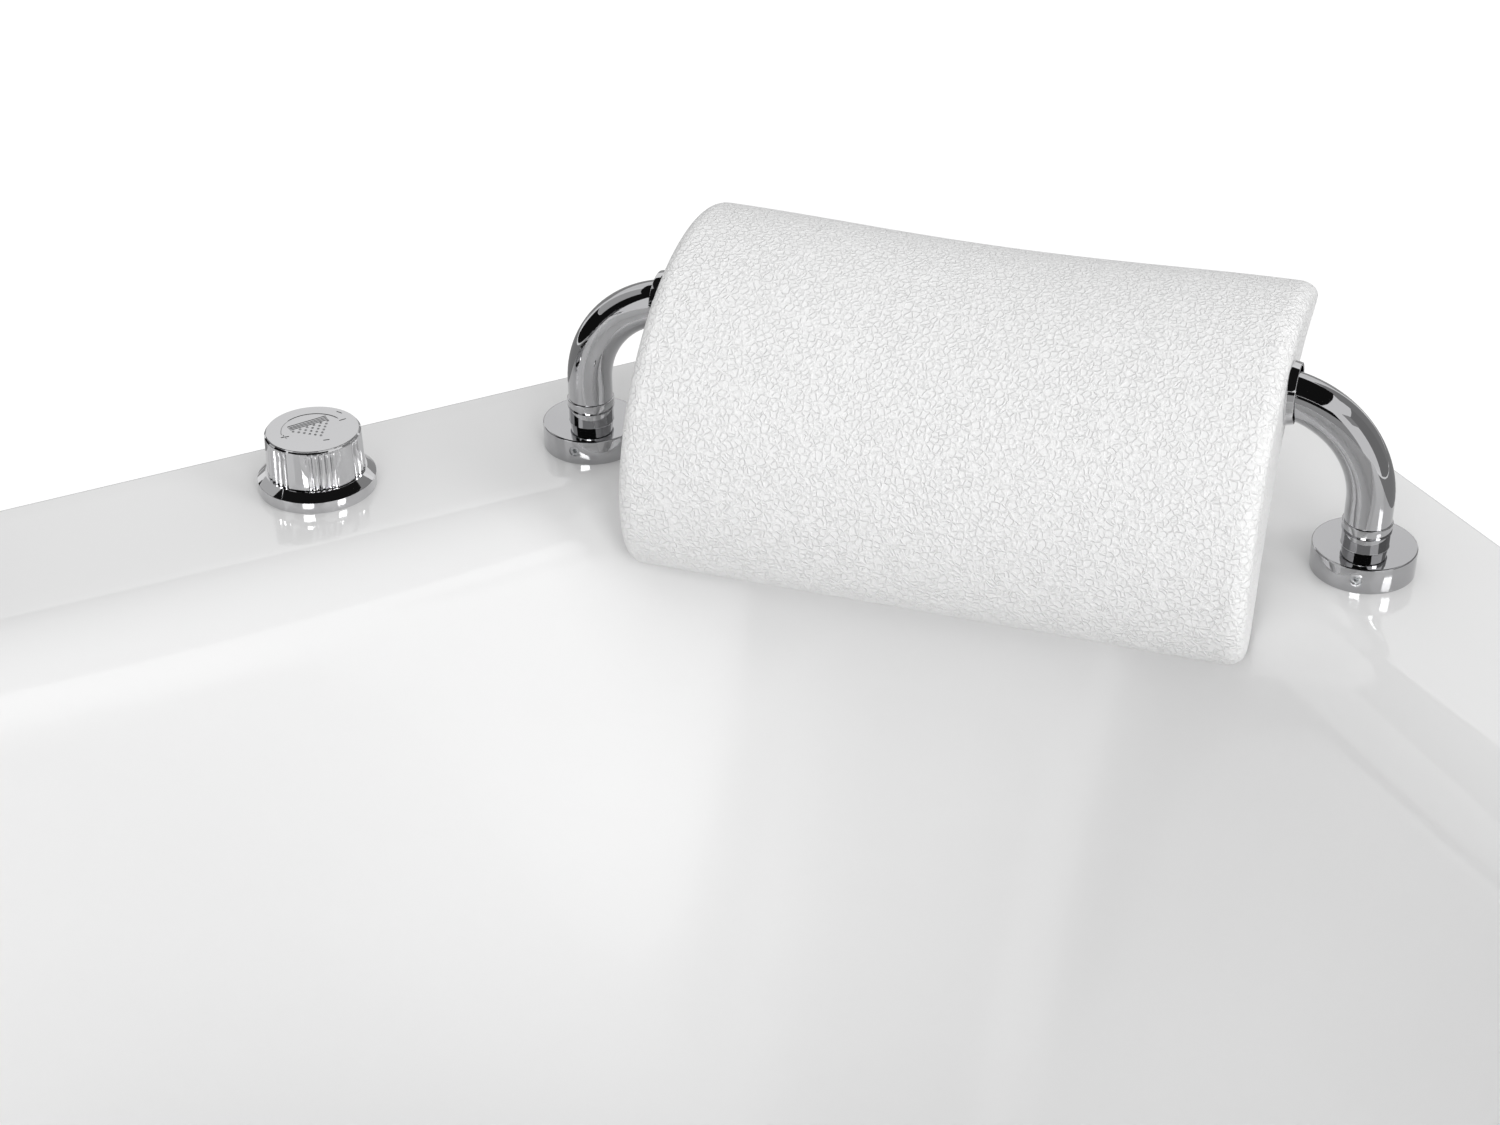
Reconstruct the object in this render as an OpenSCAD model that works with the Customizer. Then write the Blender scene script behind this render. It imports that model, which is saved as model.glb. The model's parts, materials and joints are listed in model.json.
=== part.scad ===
// Corner bath with deck-mounted taps and a headrest pillow on a chrome rail.
// Frame: origin on the floor under the middle of the bath's box, +Z up.
// The corner of the two walls is at +Y, the curved front at -Y, and the
// headrest rail runs along X across the corner.

/* [Bath] */
// Length of each straight wall side
side_len = 1350; // [1300:5:1400]
// Depth from the sharp wall corner to the middle of the curved front
bath_depth = 1560; // [1530:5:1600]
// Distance from the sharp wall corner to the waste
corner_to_waste = 811; // [790:1:830]
// Depth of the basin under the ledge
basin_depth = 430; // [400:5:470]
// Height of the basin's floor above the ground
floor_height = 170; // [165:5:210]
// Thickness of the acrylic shell
shell_t = 6; // [5:0.5:7]
// Height of the turned-down lip round the ledge
lip_h = 45; // [35:1:60]
// Width of the ledge along the walls
wall_ledge = 110; // [104:1:116]
// Width of the ledge along the front
front_ledge = 110; // [100:1:125]
// How far the basin edge lies behind the headrest rail
niche_depth = 50; // [44:1:56]
// Radius of the outer edge of the ledge
edge_fillet = 4; // [3:0.5:5]
// Radius where the ledge turns down into the basin
top_fillet = 60; // [50:1:66]
// Radius where the basin wall meets its floor
floor_fillet = 90; // [80:1:100]
// Run from the wall side to the flat floor
floor_wall_run = 250; // [240:5:270]
// Run from the front edge to the flat floor
floor_front_run = 290; // [285:5:310]
// Distance of the flat floor's back edge from the waste
floor_back = 150; // [130:5:170]

/* [Headrest] */
// Distance between the two posts of the rail
post_span = 450; // [440:1:470]
// Distance from a post to the wall edge of the ledge
post_to_edge = 82.1; // [78:0.1:90]
// Outside diameter of the rail tube
rail_d = 26; // [24:0.5:27]
// Wall of the rail tube
rail_wall = 1.5; // [1:0.1:2]
// Height of the rail's axis above the ledge
rail_h = 99.5; // [94:0.5:104]
// Radius of the rail's bends
rail_bend_r = 58; // [50:1:62]
// Diameter of the rosettes
rosette_d = 57; // [52:1:60]
// Height of the rosettes
rosette_h = 15; // [13:0.5:18]
// Height of the stub on top of a rosette
stub_h = 9; // [6:0.5:12]
// Diameter of the foot ring on the rail
foot_ring_d = 27.4; // [27.4:0.1:29]
// Height of the foot ring on the rail
foot_ring_h = 6; // [4:0.5:8]
// Diameter of the spigot that the rail stands on
spigot_d = 20; // [16:0.5:20.5]
// Diameter of the studs under the rosettes
stud_d = 8; // [6:1:10]
// Distance from a post's axis to the pillow's end
pillow_gap = 49; // [47:1:65]
// Radius of the pillow's curved middle line
pillow_arc_r = 129; // [127:0.5:130]
// Largest half thickness of the pillow
pillow_half_t = 30; // [28:0.5:32]
// Share by which the lower part is thicker
pillow_taper = 0.35; // [0.25:0.05:0.4]
// Share by which the lower part's underside is drawn in
pillow_slim = 0.25; // [0.1:0.05:0.35]
// Lower end of the pillow's middle line, degrees
pillow_low_deg = -9; // [-12:1:-4]
// Upper end of the pillow's middle line, degrees
pillow_high_deg = 104; // [98:1:108]
// Place of the rail's axis on the middle line, degrees
pillow_rail_deg = 60; // [58:1:62]
// Dip along the top of the pillow
pillow_saddle = 11; // [4:1:13]
// Radius round the pillow's ends
pillow_end_r = 10; // [6:1:12]
// Wall of the sleeve inside the pillow
sleeve_wall = 2.6; // [2:0.1:3]
// Diameter of the collars at the pillow's ends
collar_d = 35; // [34:0.5:37]
// Length of the collars at the pillow's ends
collar_len = 5; // [4:0.5:6]

/* [Deck taps] */
// Distance of the taps from the wall edge
tap_to_edge = 56; // [52:1:64]
// Distance of the diverter from the wall corner
diverter_u = 561; // [547:1:600]
// Distance from the diverter to the mixer
mixer_gap = 256; // [220:1:270]
// Distance from the mixer to the spout
spout_gap = 140; // [120:1:160]
// Distance from the spout to the hand shower
shower_gap = 120; // [100:1:135]
// Diameter of the tap flanges
flange_d = 67.8; // [64:0.2:72]
// Height of the flange's upright band
flange_band = 6.8; // [4:0.2:8]
// Height of the whole flange
flange_h = 11; // [8.5:0.1:12]
// Diameter of the bevel's upper edge
flange_top_d = 58; // [54:0.5:60]
// Diameter of the knobs
knob_d = 56; // [50:1:58]
// Height of the knobs
knob_h = 24.8; // [20:0.2:32]
// Depth of the knobs' flutes
flute_depth = 1.1; // [0.6:0.1:1.6]
// Wall of the knobs
knob_wall = 3; // [2:0.5:4]
// Diameter of the tap spindles
spindle_d = 10; // [8:0.5:12]
// Diameter of the threaded shanks
shank_d = 24; // [22:0.5:26]
// Length of the threaded shanks under the ledge
shank_len = 40; // [34:1:50]
// Diameter of the valve bodies
valve_d = 44; // [38:1:48]
// Height of the valve bodies
valve_h = 70; // [68:1:80]
// Diameter of the water pipes
pipe_d = 15; // [12:1:15]
// Inner bend radius of the water pipes
pipe_bend_r = 18; // [14:1:20]
// Outside diameter of the supply threads
inlet_d = 20.955; // [18:0.5:22]
// Height of the spout's neck above its base
spout_rise = 90; // [60:5:120]
// Reach of the spout
spout_reach = 130; // [100:5:150]
// Diameter of the spout tube
spout_d = 25; // [20:0.5:26]
// Length of the hand shower's handle
handset_len = 190; // [150:5:220]
// Diameter of the hand shower's head
rose_d = 92; // [70:2:100]

/* [Waste and overflow] */
// Diameter of the waste flange
waste_d = 70; // [64:1:80]
// Diameter of the waste's tail
waste_tail_d = 48; // [44:1:52]
// Travel of the plug
plug_lift = 10; // [6:1:12]
// Height of the overflow below the ledge
overflow_drop = 130; // [110:5:160]
// Diameter of the overflow ring
overflow_d = 72; // [66:1:78]
// Diameter of the overflow knob
overflow_knob_d = 54; // [46:1:60]
// Diameter of the overflow pipe
overflow_pipe_d = 32; // [26:1:34]
// Diameter of the waste outlet
outlet_d = 40; // [36:1:44]
// Height of the waste outlet's axis
outlet_z = 62; // [56:1:66]

/* [Frame and apron] */
// Side of the square frame tube
tube_s = 30; // [25:1:32]
// Wall of the square frame tube
tube_wall = 2; // [1.5:0.5:3]
// Thickness of the board under the basin
board_t = 12; // [9:1:14]
// Diameter of the foot rods
foot_rod_d = 12; // [10:1:14]
// Diameter of the foot pads
foot_pad_d = 50; // [40:1:60]
// Height of the foot pads
foot_pad_h = 10; // [8:1:14]
// Thickness of the apron
apron_t = 4; // [3:0.5:5]
// Gap between the floor and the apron
apron_gap = 30; // [20:5:50]
// How far the apron reaches up behind the lip
apron_tuck = 25; // [15:1:30]

/* [Hidden] */

$fn = 64;
eps = 0.5;           // overshoot of a cutting solid
fit = 0.05;          // radial clearance of a turning or sliding fit
seat = 0.3;          // gap between parts that move past each other
loose = 0.2;         // radial clearance of a fixed part in its hole
hole_gap = 1;        // radial clearance of a shank in the shell

// The basin's own centre, which is the waste, and the outline round it.
half_width = side_len / sqrt(2);
front_rise = bath_depth - half_width;
front_r = (half_width * half_width + front_rise * front_rise) / (2 * front_rise);
front_cy = corner_to_waste - bath_depth + front_r;
wall_dist = corner_to_waste / sqrt(2);
edge_power = 60;     // sharpness of the bath's outer corners
basin_power = 20;    // sharpness of the basin edge's corners
floor_power = 5;     // sharpness of the flat floor's corners

// One over the distance to a straight side whose normal is n, in direction a.
function line_inv(a, n, d) = max(0, cos(a - n)) / d;
// One over the distance to a circle of radius r about the front's centre.
function arc_inv(a, r) = 1 / (front_cy * sin(a) + sqrt(r * r - pow(front_cy * cos(a), 2)));
// Distance to a rounded outline made of two walls, the front and a back line.
function reach(a, wall_in, front_in, back, p) = pow(
    pow(line_inv(a, 45, wall_dist - wall_in), p)
    + pow(line_inv(a, 135, wall_dist - wall_in), p)
    + pow(line_inv(a, 90, back), p)
    + pow(arc_inv(a, front_r - front_in), p), -1 / p);
function outer_reach(a) = reach(a, 0, 0, 2 * bath_depth, edge_power);

ledge_z = floor_height + basin_depth;
waste_y = (bath_depth - corner_to_waste - outer_reach(90)) / 2;
corner_y = waste_y + corner_to_waste;
rail_y = corner_y - post_span / 2 - post_to_edge * sqrt(2);
niche_back = rail_y + niche_depth - waste_y;
function basin_reach(a) = reach(a, wall_ledge, front_ledge, niche_back, basin_power);
function floor_reach(a) = reach(a, floor_wall_run, floor_front_run, floor_back, floor_power);

// Slope of the basin wall in direction a: the line that touches both fillets.
both_fillets = top_fillet + floor_fillet;
function wall_slope(a) = let(
    run = basin_reach(a) - floor_reach(a), drop = basin_depth - both_fillets)
    asin(both_fillets / norm([run, drop])) + atan2(drop, run);

// Directions at which the shell is cut: close together at the three corners.
wing_deg = atan2(corner_to_waste - half_width, half_width);
corner_steps = [-4, -2, -0.8, 0, 0.8, 2, 4];
function span_steps(a, b, n) = [for (i = [1:n - 1]) a + 4 + (b - a - 8) * i / n];
shell_degs = concat(
    [for (c = corner_steps) wing_deg + c], span_steps(wing_deg, 90, 18),
    [for (c = corner_steps) 90 + c], span_steps(90, 180 - wing_deg, 18),
    [for (c = corner_steps) 180 - wing_deg + c],
    span_steps(180 - wing_deg, 360 + wing_deg, 27));
arc_steps = 5;
waste_core_r = 15;
inner_edge_r = 1.5;  // radius inside the ledge's outer edge
// Section of the shell in direction a, as [distance, height under the ledge]:
// over the lip, the ledge and the basin to the waste, and back underneath.
function shell_section(a) = let(
    ro = outer_reach(a), ri = basin_reach(a), rf = floor_reach(a), s = wall_slope(a),
    t = shell_t, ef = edge_fillet, ei = inner_edge_r)
    concat(
        [[ro, -lip_h]],
        [for (b = [0:30:90]) [ro - ef + ef * cos(b), -ef + ef * sin(b)]],
        [for (i = [0:arc_steps]) let(b = s * i / arc_steps)
            [ri - top_fillet * sin(b), -top_fillet + top_fillet * cos(b)]],
        [for (i = [arc_steps:-1:0]) let(b = s * i / arc_steps)
            [rf + floor_fillet * sin(b), -basin_depth + floor_fillet - floor_fillet * cos(b)]],
        [[waste_core_r, -basin_depth], [waste_core_r, -basin_depth - t]],
        [for (i = [0:arc_steps]) let(b = s * i / arc_steps)
            [rf + (floor_fillet + t) * sin(b),
             -basin_depth + floor_fillet - (floor_fillet + t) * cos(b)]],
        [for (i = [arc_steps:-1:0]) let(b = s * i / arc_steps)
            [ri - (top_fillet - t) * sin(b), -top_fillet + (top_fillet - t) * cos(b)]],
        [for (b = [90:-30:0]) [ro - t - ei + ei * cos(b), -t - ei + ei * sin(b)]],
        [[ro - t, -lip_h]]);

// Closed grid of points: m points in each of n rings, joined ring to ring and
// from the last ring back to the first.
function loop_faces(n, m) = [for (i = [0:n - 1], j = [0:m - 1])
    let(i2 = (i + 1) % n, j2 = (j + 1) % m, a = i * m + j, b = i * m + j2,
        c = i2 * m + j2, d = i2 * m + j)
    each [[a, b, c], [a, c, d]]];

// Places on the left wall's ledge: u along the wall from the corner, d from its edge.
mixer_u = diverter_u + mixer_gap;
spout_u = mixer_u + spout_gap;
shower_u = spout_u + shower_gap;
module on_ledge(u, d = tap_to_edge) {
    translate([0, corner_y, ledge_z]) rotate([0, 0, 225]) translate([u, d, 0]) children();
}
module at_waste() { translate([0, waste_y, 0]) children(); }
module ring(r_out, r_in, h) {
    difference() {
        cylinder(r = r_out, h = h);
        translate([0, 0, -eps]) cylinder(r = r_in, h = h + 2 * eps);
    }
}
module hex_nut(across, bore_r, h) {
    difference() {
        cylinder(d = across / cos(30), h = h, $fn = 6);
        translate([0, 0, -eps]) cylinder(r = bore_r, h = h + 2 * eps);
    }
}

// Overflow: on the straight part of the front wall, square to it.
front_slope = wall_slope(-90);
overflow_y = -(basin_reach(-90) - top_fillet * sin(front_slope)
    - (overflow_drop - top_fillet * (1 - cos(front_slope))) / tan(front_slope));
overflow_lift = 1.4;  // ring off the curved wall
module at_overflow() {
    translate([0, waste_y + overflow_y, ledge_z - overflow_drop])
        rotate([-front_slope, 0, 0]) translate([0, 0, overflow_lift]) children();
}
overflow_tail_r = 24;
overflow_z = 95;     // axis of the overflow pipe under the frame

floor_z = ledge_z - basin_depth;
board_z = floor_z - shell_t - board_t;
rail_z = board_z - tube_s;
waste_tail_r = waste_tail_d / 2;

module tub_shell() {
    m = len(shell_section(0));
    color("white") difference() {
        translate([0, waste_y, ledge_z]) polyhedron(
            points = [for (a = shell_degs) for (p = shell_section(a))
                [p[0] * cos(a), p[0] * sin(a), p[1]]],
            faces = loop_faces(len(shell_degs), m));
        for (s = [-1, 1]) translate([s * post_span / 2, rail_y, ledge_z - shell_t - eps])
            cylinder(r = stud_d / 2 + hole_gap, h = shell_t + 2 * eps);
        for (u = [diverter_u, mixer_u, spout_u, shower_u]) on_ledge(u)
            translate([0, 0, -shell_t - eps])
                cylinder(r = shank_d / 2 + hole_gap, h = shell_t + 2 * eps);
        at_waste() translate([0, 0, floor_z - shell_t - eps])
            cylinder(r = waste_tail_r + hole_gap, h = shell_t + 2 * eps);
        at_overflow() translate([0, 0, -3 * shell_t])
            cylinder(r = overflow_tail_r + hole_gap, h = 4 * shell_t);
    }
}

// Board under the flat floor, with a hole for the waste.
board_waste_r = waste_d / 2 + 8;
board_margin = 4;
module base_board() {
    color("burlywood") at_waste() translate([0, 0, board_z]) linear_extrude(board_t)
        difference() {
            polygon([for (a = [0:7.5:352.5])
                (floor_reach(a) - board_margin) * [cos(a), sin(a)]]);
            circle(r = board_waste_r);
        }
}

// Frame: two cross rails and a spine of square tube under the board. The
// uprights stand under the ledge, at these distances from the front or a wall.
front_rail_in = 59;  // front rail behind the board's front edge
front_rail_y = corner_to_waste - bath_depth + floor_front_run + front_rail_in;
front_post_in = 90;
wing_front_in = 80;
wing_wall_in = 88;
front_post_x = sqrt(pow(front_r - front_post_in, 2) - pow(front_cy - front_rail_y, 2));
wing_sum = corner_to_waste - wing_wall_in * sqrt(2);
wing_post_x = (wing_sum - front_cy
    + sqrt(2 * pow(front_r - wing_front_in, 2) - pow(wing_sum - front_cy, 2))) / 2;
middle_rail_y = wing_sum - wing_post_x;
spine_x = 55;        // beside the waste
spine_corner_in = 96;
spine_post_y = corner_to_waste - spine_x - spine_corner_in;
rail_over = 0.8 * tube_s;   // rail past its end upright
module square_tube(len, side = tube_s) {
    linear_extrude(len) difference() {
        square(side, center = true);
        square(side - 2 * tube_wall, center = true);
    }
}
module cross_rail(x, y) {
    color("silver") at_waste() difference() {
        translate([-x - rail_over, y, rail_z + tube_s / 2]) rotate([90, 0, 90])
            square_tube(2 * (x + rail_over));
        for (s = [-1, 1]) translate([s * x, y, rail_z - eps])
            cylinder(r = foot_rod_d / 2 + loose, h = tube_wall + 2 * eps);
    }
}
module frame_front_rail() { cross_rail(front_post_x, front_rail_y); }
module frame_middle_rail() { cross_rail(wing_post_x, middle_rail_y); }
module frame_spine_rail() {
    start_y = middle_rail_y + tube_s / 2;
    color("silver") at_waste() difference() {
        translate([spine_x, start_y, rail_z + tube_s / 2]) rotate([-90, 0, 0])
            square_tube(spine_post_y + rail_over - start_y);
        translate([spine_x, spine_post_y, rail_z - eps])
            cylinder(r = foot_rod_d / 2 + loose, h = tube_wall + 2 * eps);
    }
}
// Each support: x, y from the waste, and the turn of its upright.
function front_turn(x, y) = atan2(y - front_cy, x);
supports = [
    [-front_post_x, front_rail_y, front_turn(-front_post_x, front_rail_y)],
    [front_post_x, front_rail_y, front_turn(front_post_x, front_rail_y)],
    [-wing_post_x, middle_rail_y, front_turn(-wing_post_x, middle_rail_y)],
    [wing_post_x, middle_rail_y, front_turn(wing_post_x, middle_rail_y)],
    [spine_x, spine_post_y, 90]];
upright_s = 20;
plate_s = 44;
plate_t = 4;
rail_top = rail_z + tube_s;
module frame_uprights() {
    plate_z = ledge_z - shell_t - seat - plate_t;
    color("silver") at_waste() for (p = supports)
        translate([p[0], p[1], rail_top]) rotate([0, 0, p[2]]) {
            square_tube(plate_z - rail_top, upright_s);
            translate([-plate_s / 2, -plate_s / 2, plate_z - rail_top])
                cube([plate_s, plate_s, plate_t]);
        }
}
rod_reach = 18;      // foot rod inside the rail
module foot_rods() {
    color("silver") at_waste() for (p = supports) translate([p[0], p[1], foot_pad_h])
        cylinder(d = foot_rod_d, h = rail_z + rod_reach - foot_pad_h);
}
foot_nut_h = 10;
module foot_nuts() {
    color("silver") at_waste() for (p = supports)
        translate([p[0], p[1], rail_z - foot_nut_h])
            hex_nut(1.6 * foot_rod_d, foot_rod_d / 2 + fit, foot_nut_h);
}
module foot_pads() {
    color("dimgray") at_waste() for (p = supports) translate([p[0], p[1], 0])
        rotate_extrude() polygon([[0, 0], [foot_pad_d / 2, 0],
            [foot_pad_d / 2, 0.5 * foot_pad_h], [foot_rod_d, foot_pad_h], [0, foot_pad_h]]);
}

// Apron: an arc of sheet inside the lip, with a return along its foot.
apron_r = front_r - shell_t - 2.4;
apron_half_deg = asin(half_width / front_r) - 2.2;
apron_top = ledge_z - lip_h + apron_tuck;
apron_return = 22;
bracket_z = rail_top + 40;
screw_d = 6;
module at_front_centre() { translate([0, waste_y + front_cy, 0]) children(); }
module apron_screw_place() {
    for (p = supports) if (p[1] < 0)
        at_front_centre() rotate([0, 0, p[2]]) translate([apron_r, 0, bracket_z])
            rotate([0, 90, 0]) children();
}
module front_apron() {
    color("white") difference() {
        at_front_centre() rotate([0, 0, -90 - apron_half_deg])
            rotate_extrude(angle = 2 * apron_half_deg, $fn = 180) polygon([
                [apron_r - apron_return, apron_gap], [apron_r, apron_gap],
                [apron_r, apron_top], [apron_r - apron_t, apron_top],
                [apron_r - apron_t, apron_gap + apron_t],
                [apron_r - apron_return, apron_gap + apron_t]]);
        apron_screw_place() translate([0, 0, -2 * apron_t])
            cylinder(r = screw_d / 2 + loose, h = 3 * apron_t);
    }
}
bracket_w = 26;
bracket_t = 4;
module apron_brackets() {
    post_r = upright_s / 2 + fit;
    inner = norm([front_post_x, front_cy - front_rail_y]) + post_r;
    wing_inner = norm([wing_post_x, front_cy - middle_rail_y]) + post_r;
    reach_r = apron_r - apron_t - seat;
    color("silver") difference() {
        for (p = supports) if (p[1] < 0) at_front_centre() rotate([0, 0, p[2]]) {
            start = p[1] == front_rail_y ? inner : wing_inner;
            translate([start, -bracket_w / 2, bracket_z - bracket_w / 2])
                cube([reach_r - start, bracket_t, bracket_w]);
            translate([reach_r - bracket_t, -bracket_w / 2, bracket_z - bracket_w / 2])
                cube([bracket_t, bracket_w, bracket_w]);
            translate([start, -bracket_w / 2, bracket_z - bracket_w / 2])
                cube([bracket_t, bracket_w, bracket_w]);
        }
        apron_screw_place() translate([0, 0, -4 * apron_t])
            cylinder(r = screw_d / 2 + loose, h = 5 * apron_t);
    }
}
module apron_screws() {
    color("silver") apron_screw_place() {
        translate([0, 0, -apron_t - bracket_t - 6]) cylinder(d = screw_d, h = apron_t + bracket_t + 6);
        rotate_extrude() polygon([[0, 0], [screw_d, 0], [screw_d, 1.2],
            [0.6 * screw_d, 3.2], [0, 3.2]]);
    }
}

// Waste: flange with a guide for the plug's stem, body, and outlet to the corner.
flange_t = 3;
stem_d = 8;
waste_bore_r = waste_tail_r - 3;
waste_tail_len = 42;
body_r = waste_tail_r + 4;
body_top = floor_z - shell_t - 3;
body_low = outlet_z - outlet_d / 2 - 6;
guide_z = floor_z - 24;
outlet_tail_r = outlet_d / 2 - 1;
module waste_flange() {
    color("silver") at_waste() {
        translate([0, 0, floor_z]) ring(waste_d / 2, waste_bore_r, flange_t);
        translate([0, 0, floor_z - waste_tail_len])
            ring(waste_tail_r, waste_bore_r, waste_tail_len + 1);
        translate([0, 0, guide_z]) difference() {
            union() {
                cylinder(d = 16, h = 14);
                for (a = [0, 120, 240]) rotate([0, 0, a]) translate([0, -1.5, 0])
                    cube([waste_bore_r + 1, 3, 8]);
            }
            translate([0, 0, -eps]) cylinder(r = stem_d / 2 + fit, h = 15);
        }
    }
}
module waste_gasket() {
    color("dimgray") at_waste() translate([0, 0, body_top])
        ring(waste_d / 2, waste_tail_r + loose, floor_z - shell_t - body_top);
}
module waste_body() {
    color("gainsboro") at_waste() difference() {
        union() {
            translate([0, 0, body_low]) cylinder(r = body_r, h = body_top - body_low);
            translate([0, 0, body_top - 6]) cylinder(d = waste_d, h = 6);
            translate([0, 0, overflow_z]) rotate([90, 0, 0])
                cylinder(d = overflow_pipe_d + 8, h = body_r + 16);
            translate([0, 0, outlet_z]) rotate([-90, 0, 0])
                cylinder(d = outlet_d + 6, h = body_r + 16);
        }
        translate([0, 0, body_low + 4])
            cylinder(r = waste_tail_r + loose, h = body_top - body_low);
        translate([0, 0, overflow_z]) rotate([90, 0, 0])
            cylinder(r = overflow_pipe_d / 2 + loose, h = body_r + 20);
        translate([0, 0, outlet_z]) rotate([-90, 0, 0])
            cylinder(r = outlet_tail_r + loose, h = body_r + 20);
    }
}
outlet_end = 300;    // end of the outlet pipe, from the waste
outlet_bore_r = outlet_d / 2 - 3;
module waste_outlet() {
    port_end = body_r + 16;
    color("gainsboro") at_waste() translate([0, body_r, outlet_z]) rotate([-90, 0, 0]) {
        ring(outlet_tail_r, outlet_bore_r, port_end - body_r + 1);
        translate([0, 0, port_end - body_r])
            ring(outlet_d / 2, outlet_bore_r, outlet_end - port_end);
    }
}
plug_d = 64;
stem_len = 44;
plug_z = floor_z + flange_t + seat;
plug_stem_low = plug_z - stem_len;
module waste_plug() {
    color("silver") at_waste() translate([0, 0, plug_z]) {
        rotate_extrude() polygon(concat([[0, 0], [plug_d / 2 - 2, 0], [plug_d / 2, 1.5],
            [plug_d / 2, 3]], [for (a = [15:15:90])
            [(plug_d / 2 - 1) * cos(a), 3 + 5 * sin(a)]]));
        translate([0, 0, -stem_len]) cylinder(d = stem_d, h = stem_len + 1);
    }
}

// Overflow: ring and knob inside, elbow body and pipe behind the wall.
overflow_ring_h = 9;
knob_seat = 3;
module overflow_face() {
    color("silver") at_overflow() difference() {
        union() {
            cylinder(d = overflow_d, h = overflow_ring_h);
            translate([0, 0, -shell_t - 14])
                cylinder(r = overflow_tail_r, h = shell_t + 15);
        }
        translate([0, 0, knob_seat])
            cylinder(r = overflow_knob_d / 2 + 3, h = overflow_ring_h);
        translate([0, 0, -shell_t - 14 - eps])
            cylinder(r = stem_d / 2 + fit, h = 40);
        for (a = [0:60:300]) rotate([0, 0, a]) translate([14, 0, -shell_t - 14 - eps])
            cylinder(r = 4, h = 40);
    }
}
module overflow_knob() {
    color("silver") at_overflow() {
        translate([0, 0, knob_seat + seat]) rotate_extrude() polygon([
            [0, 0], [overflow_knob_d / 2 - 2, 0], [overflow_knob_d / 2, 2],
            [overflow_knob_d / 2, 10], [overflow_knob_d / 2 - 2, 13],
            [overflow_knob_d / 2 - 8, 14], [0, 14]]);
        translate([0, 0, -shell_t - 20]) cylinder(d = stem_d, h = shell_t + 24);
        translate([-2.5, -overflow_knob_d / 2 + 4, knob_seat + seat + 13])
            cube([5, overflow_knob_d - 8, 6]);
    }
}
overflow_body_len = 44;
body_bottom = shell_t + overflow_body_len;   // behind the ring's back face
pipe_in = body_bottom - 22 - overflow_lift;  // pipe's axis behind the wall
pipe_y = overflow_y - pipe_in * sin(front_slope);
cup_r = overflow_tail_r + 4;
cup_z = ledge_z - overflow_drop - pipe_in * cos(front_slope);
pipe_top_z = cup_z - cup_r - 4;
module overflow_body() {
    color("gainsboro") difference() {
        union() {
            at_overflow() {
                translate([0, 0, -shell_t - 9])
                    cylinder(r = overflow_d / 2, h = 9 - overflow_lift);
                translate([0, 0, -body_bottom]) cylinder(r = cup_r, h = overflow_body_len - 2);
            }
            at_waste() translate([0, pipe_y, pipe_top_z - 14])
                cylinder(d = overflow_pipe_d + 8, h = cup_z - pipe_top_z + 14);
        }
        at_overflow() translate([0, 0, -body_bottom + 4])
            cylinder(r = overflow_tail_r + loose, h = overflow_body_len);
        at_waste() translate([0, pipe_y, pipe_top_z - 15])
            cylinder(r = overflow_pipe_d / 2 + loose, h = 15);
        at_waste() translate([0, pipe_y, pipe_top_z - 1])
            cylinder(r = overflow_pipe_d / 2 - 2, h = cup_z - pipe_top_z);
    }
}
// The pipe drops behind the wall, bends, and runs under the frame to the waste.
over_elbow_r = 40;
module waste_run(r, top, back) {
    bend_z = overflow_z + over_elbow_r;
    at_waste() {
        translate([0, pipe_y, bend_z]) cylinder(r = r, h = top - bend_z);
        translate([0, pipe_y + over_elbow_r, bend_z]) rotate([0, 90, 0])
            rotate([0, 0, -90]) rotate_extrude(angle = 90)
                translate([over_elbow_r, 0]) circle(r = r);
        translate([0, pipe_y + over_elbow_r, overflow_z]) rotate([-90, 0, 0])
            cylinder(r = r, h = -back - pipe_y - over_elbow_r);
    }
}
module overflow_pipe() {
    pr = overflow_pipe_d / 2;
    color("gainsboro") difference() {
        waste_run(pr, pipe_top_z - loose, waste_tail_r + 1);
        waste_run(pr - 2, pipe_top_z + 1, waste_tail_r);
    }
}
// Pull cable inside the pipe, from behind the knob to under the plug's stem.
cable_r = 2;
cable_bend_r = 20;
module plug_cable() {
    color("dimgray") {
        waste_run(cable_r, cup_z, cable_bend_r);
        at_waste() translate([0, -cable_bend_r, overflow_z + cable_bend_r]) rotate([0, 90, 0])
            rotate_extrude(angle = 90) translate([cable_bend_r, 0]) circle(r = cable_r);
        at_waste() translate([0, 0, overflow_z + cable_bend_r])
            cylinder(r = cable_r, h = plug_stem_low - seat - overflow_z - cable_bend_r);
    }
}

// Headrest rail, in the rail's own frame: X along it, Z up from the ledge.
module at_headrest() { translate([0, rail_y, ledge_z]) children(); }
rail_r = rail_d / 2;
foot_z = rosette_h + stub_h;
straight_half = post_span / 2 - rail_bend_r;
module rail_path(r, foot) {
    for (s = [-1, 1]) {
        translate([s * post_span / 2, 0, foot])
            cylinder(r = r, h = rail_h - rail_bend_r - foot);
        translate([s * straight_half, 0, rail_h - rail_bend_r]) rotate([90, 0, 0])
            rotate([0, 0, s > 0 ? 0 : 90]) rotate_extrude(angle = 90)
                translate([rail_bend_r, 0]) circle(r = r);
    }
    translate([-straight_half, 0, rail_h]) rotate([0, 90, 0])
        cylinder(r = r, h = 2 * straight_half);
}
plate_low = 2.4;
stud_head = 2;
spigot_z = plate_low + stud_head + loose;
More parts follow.
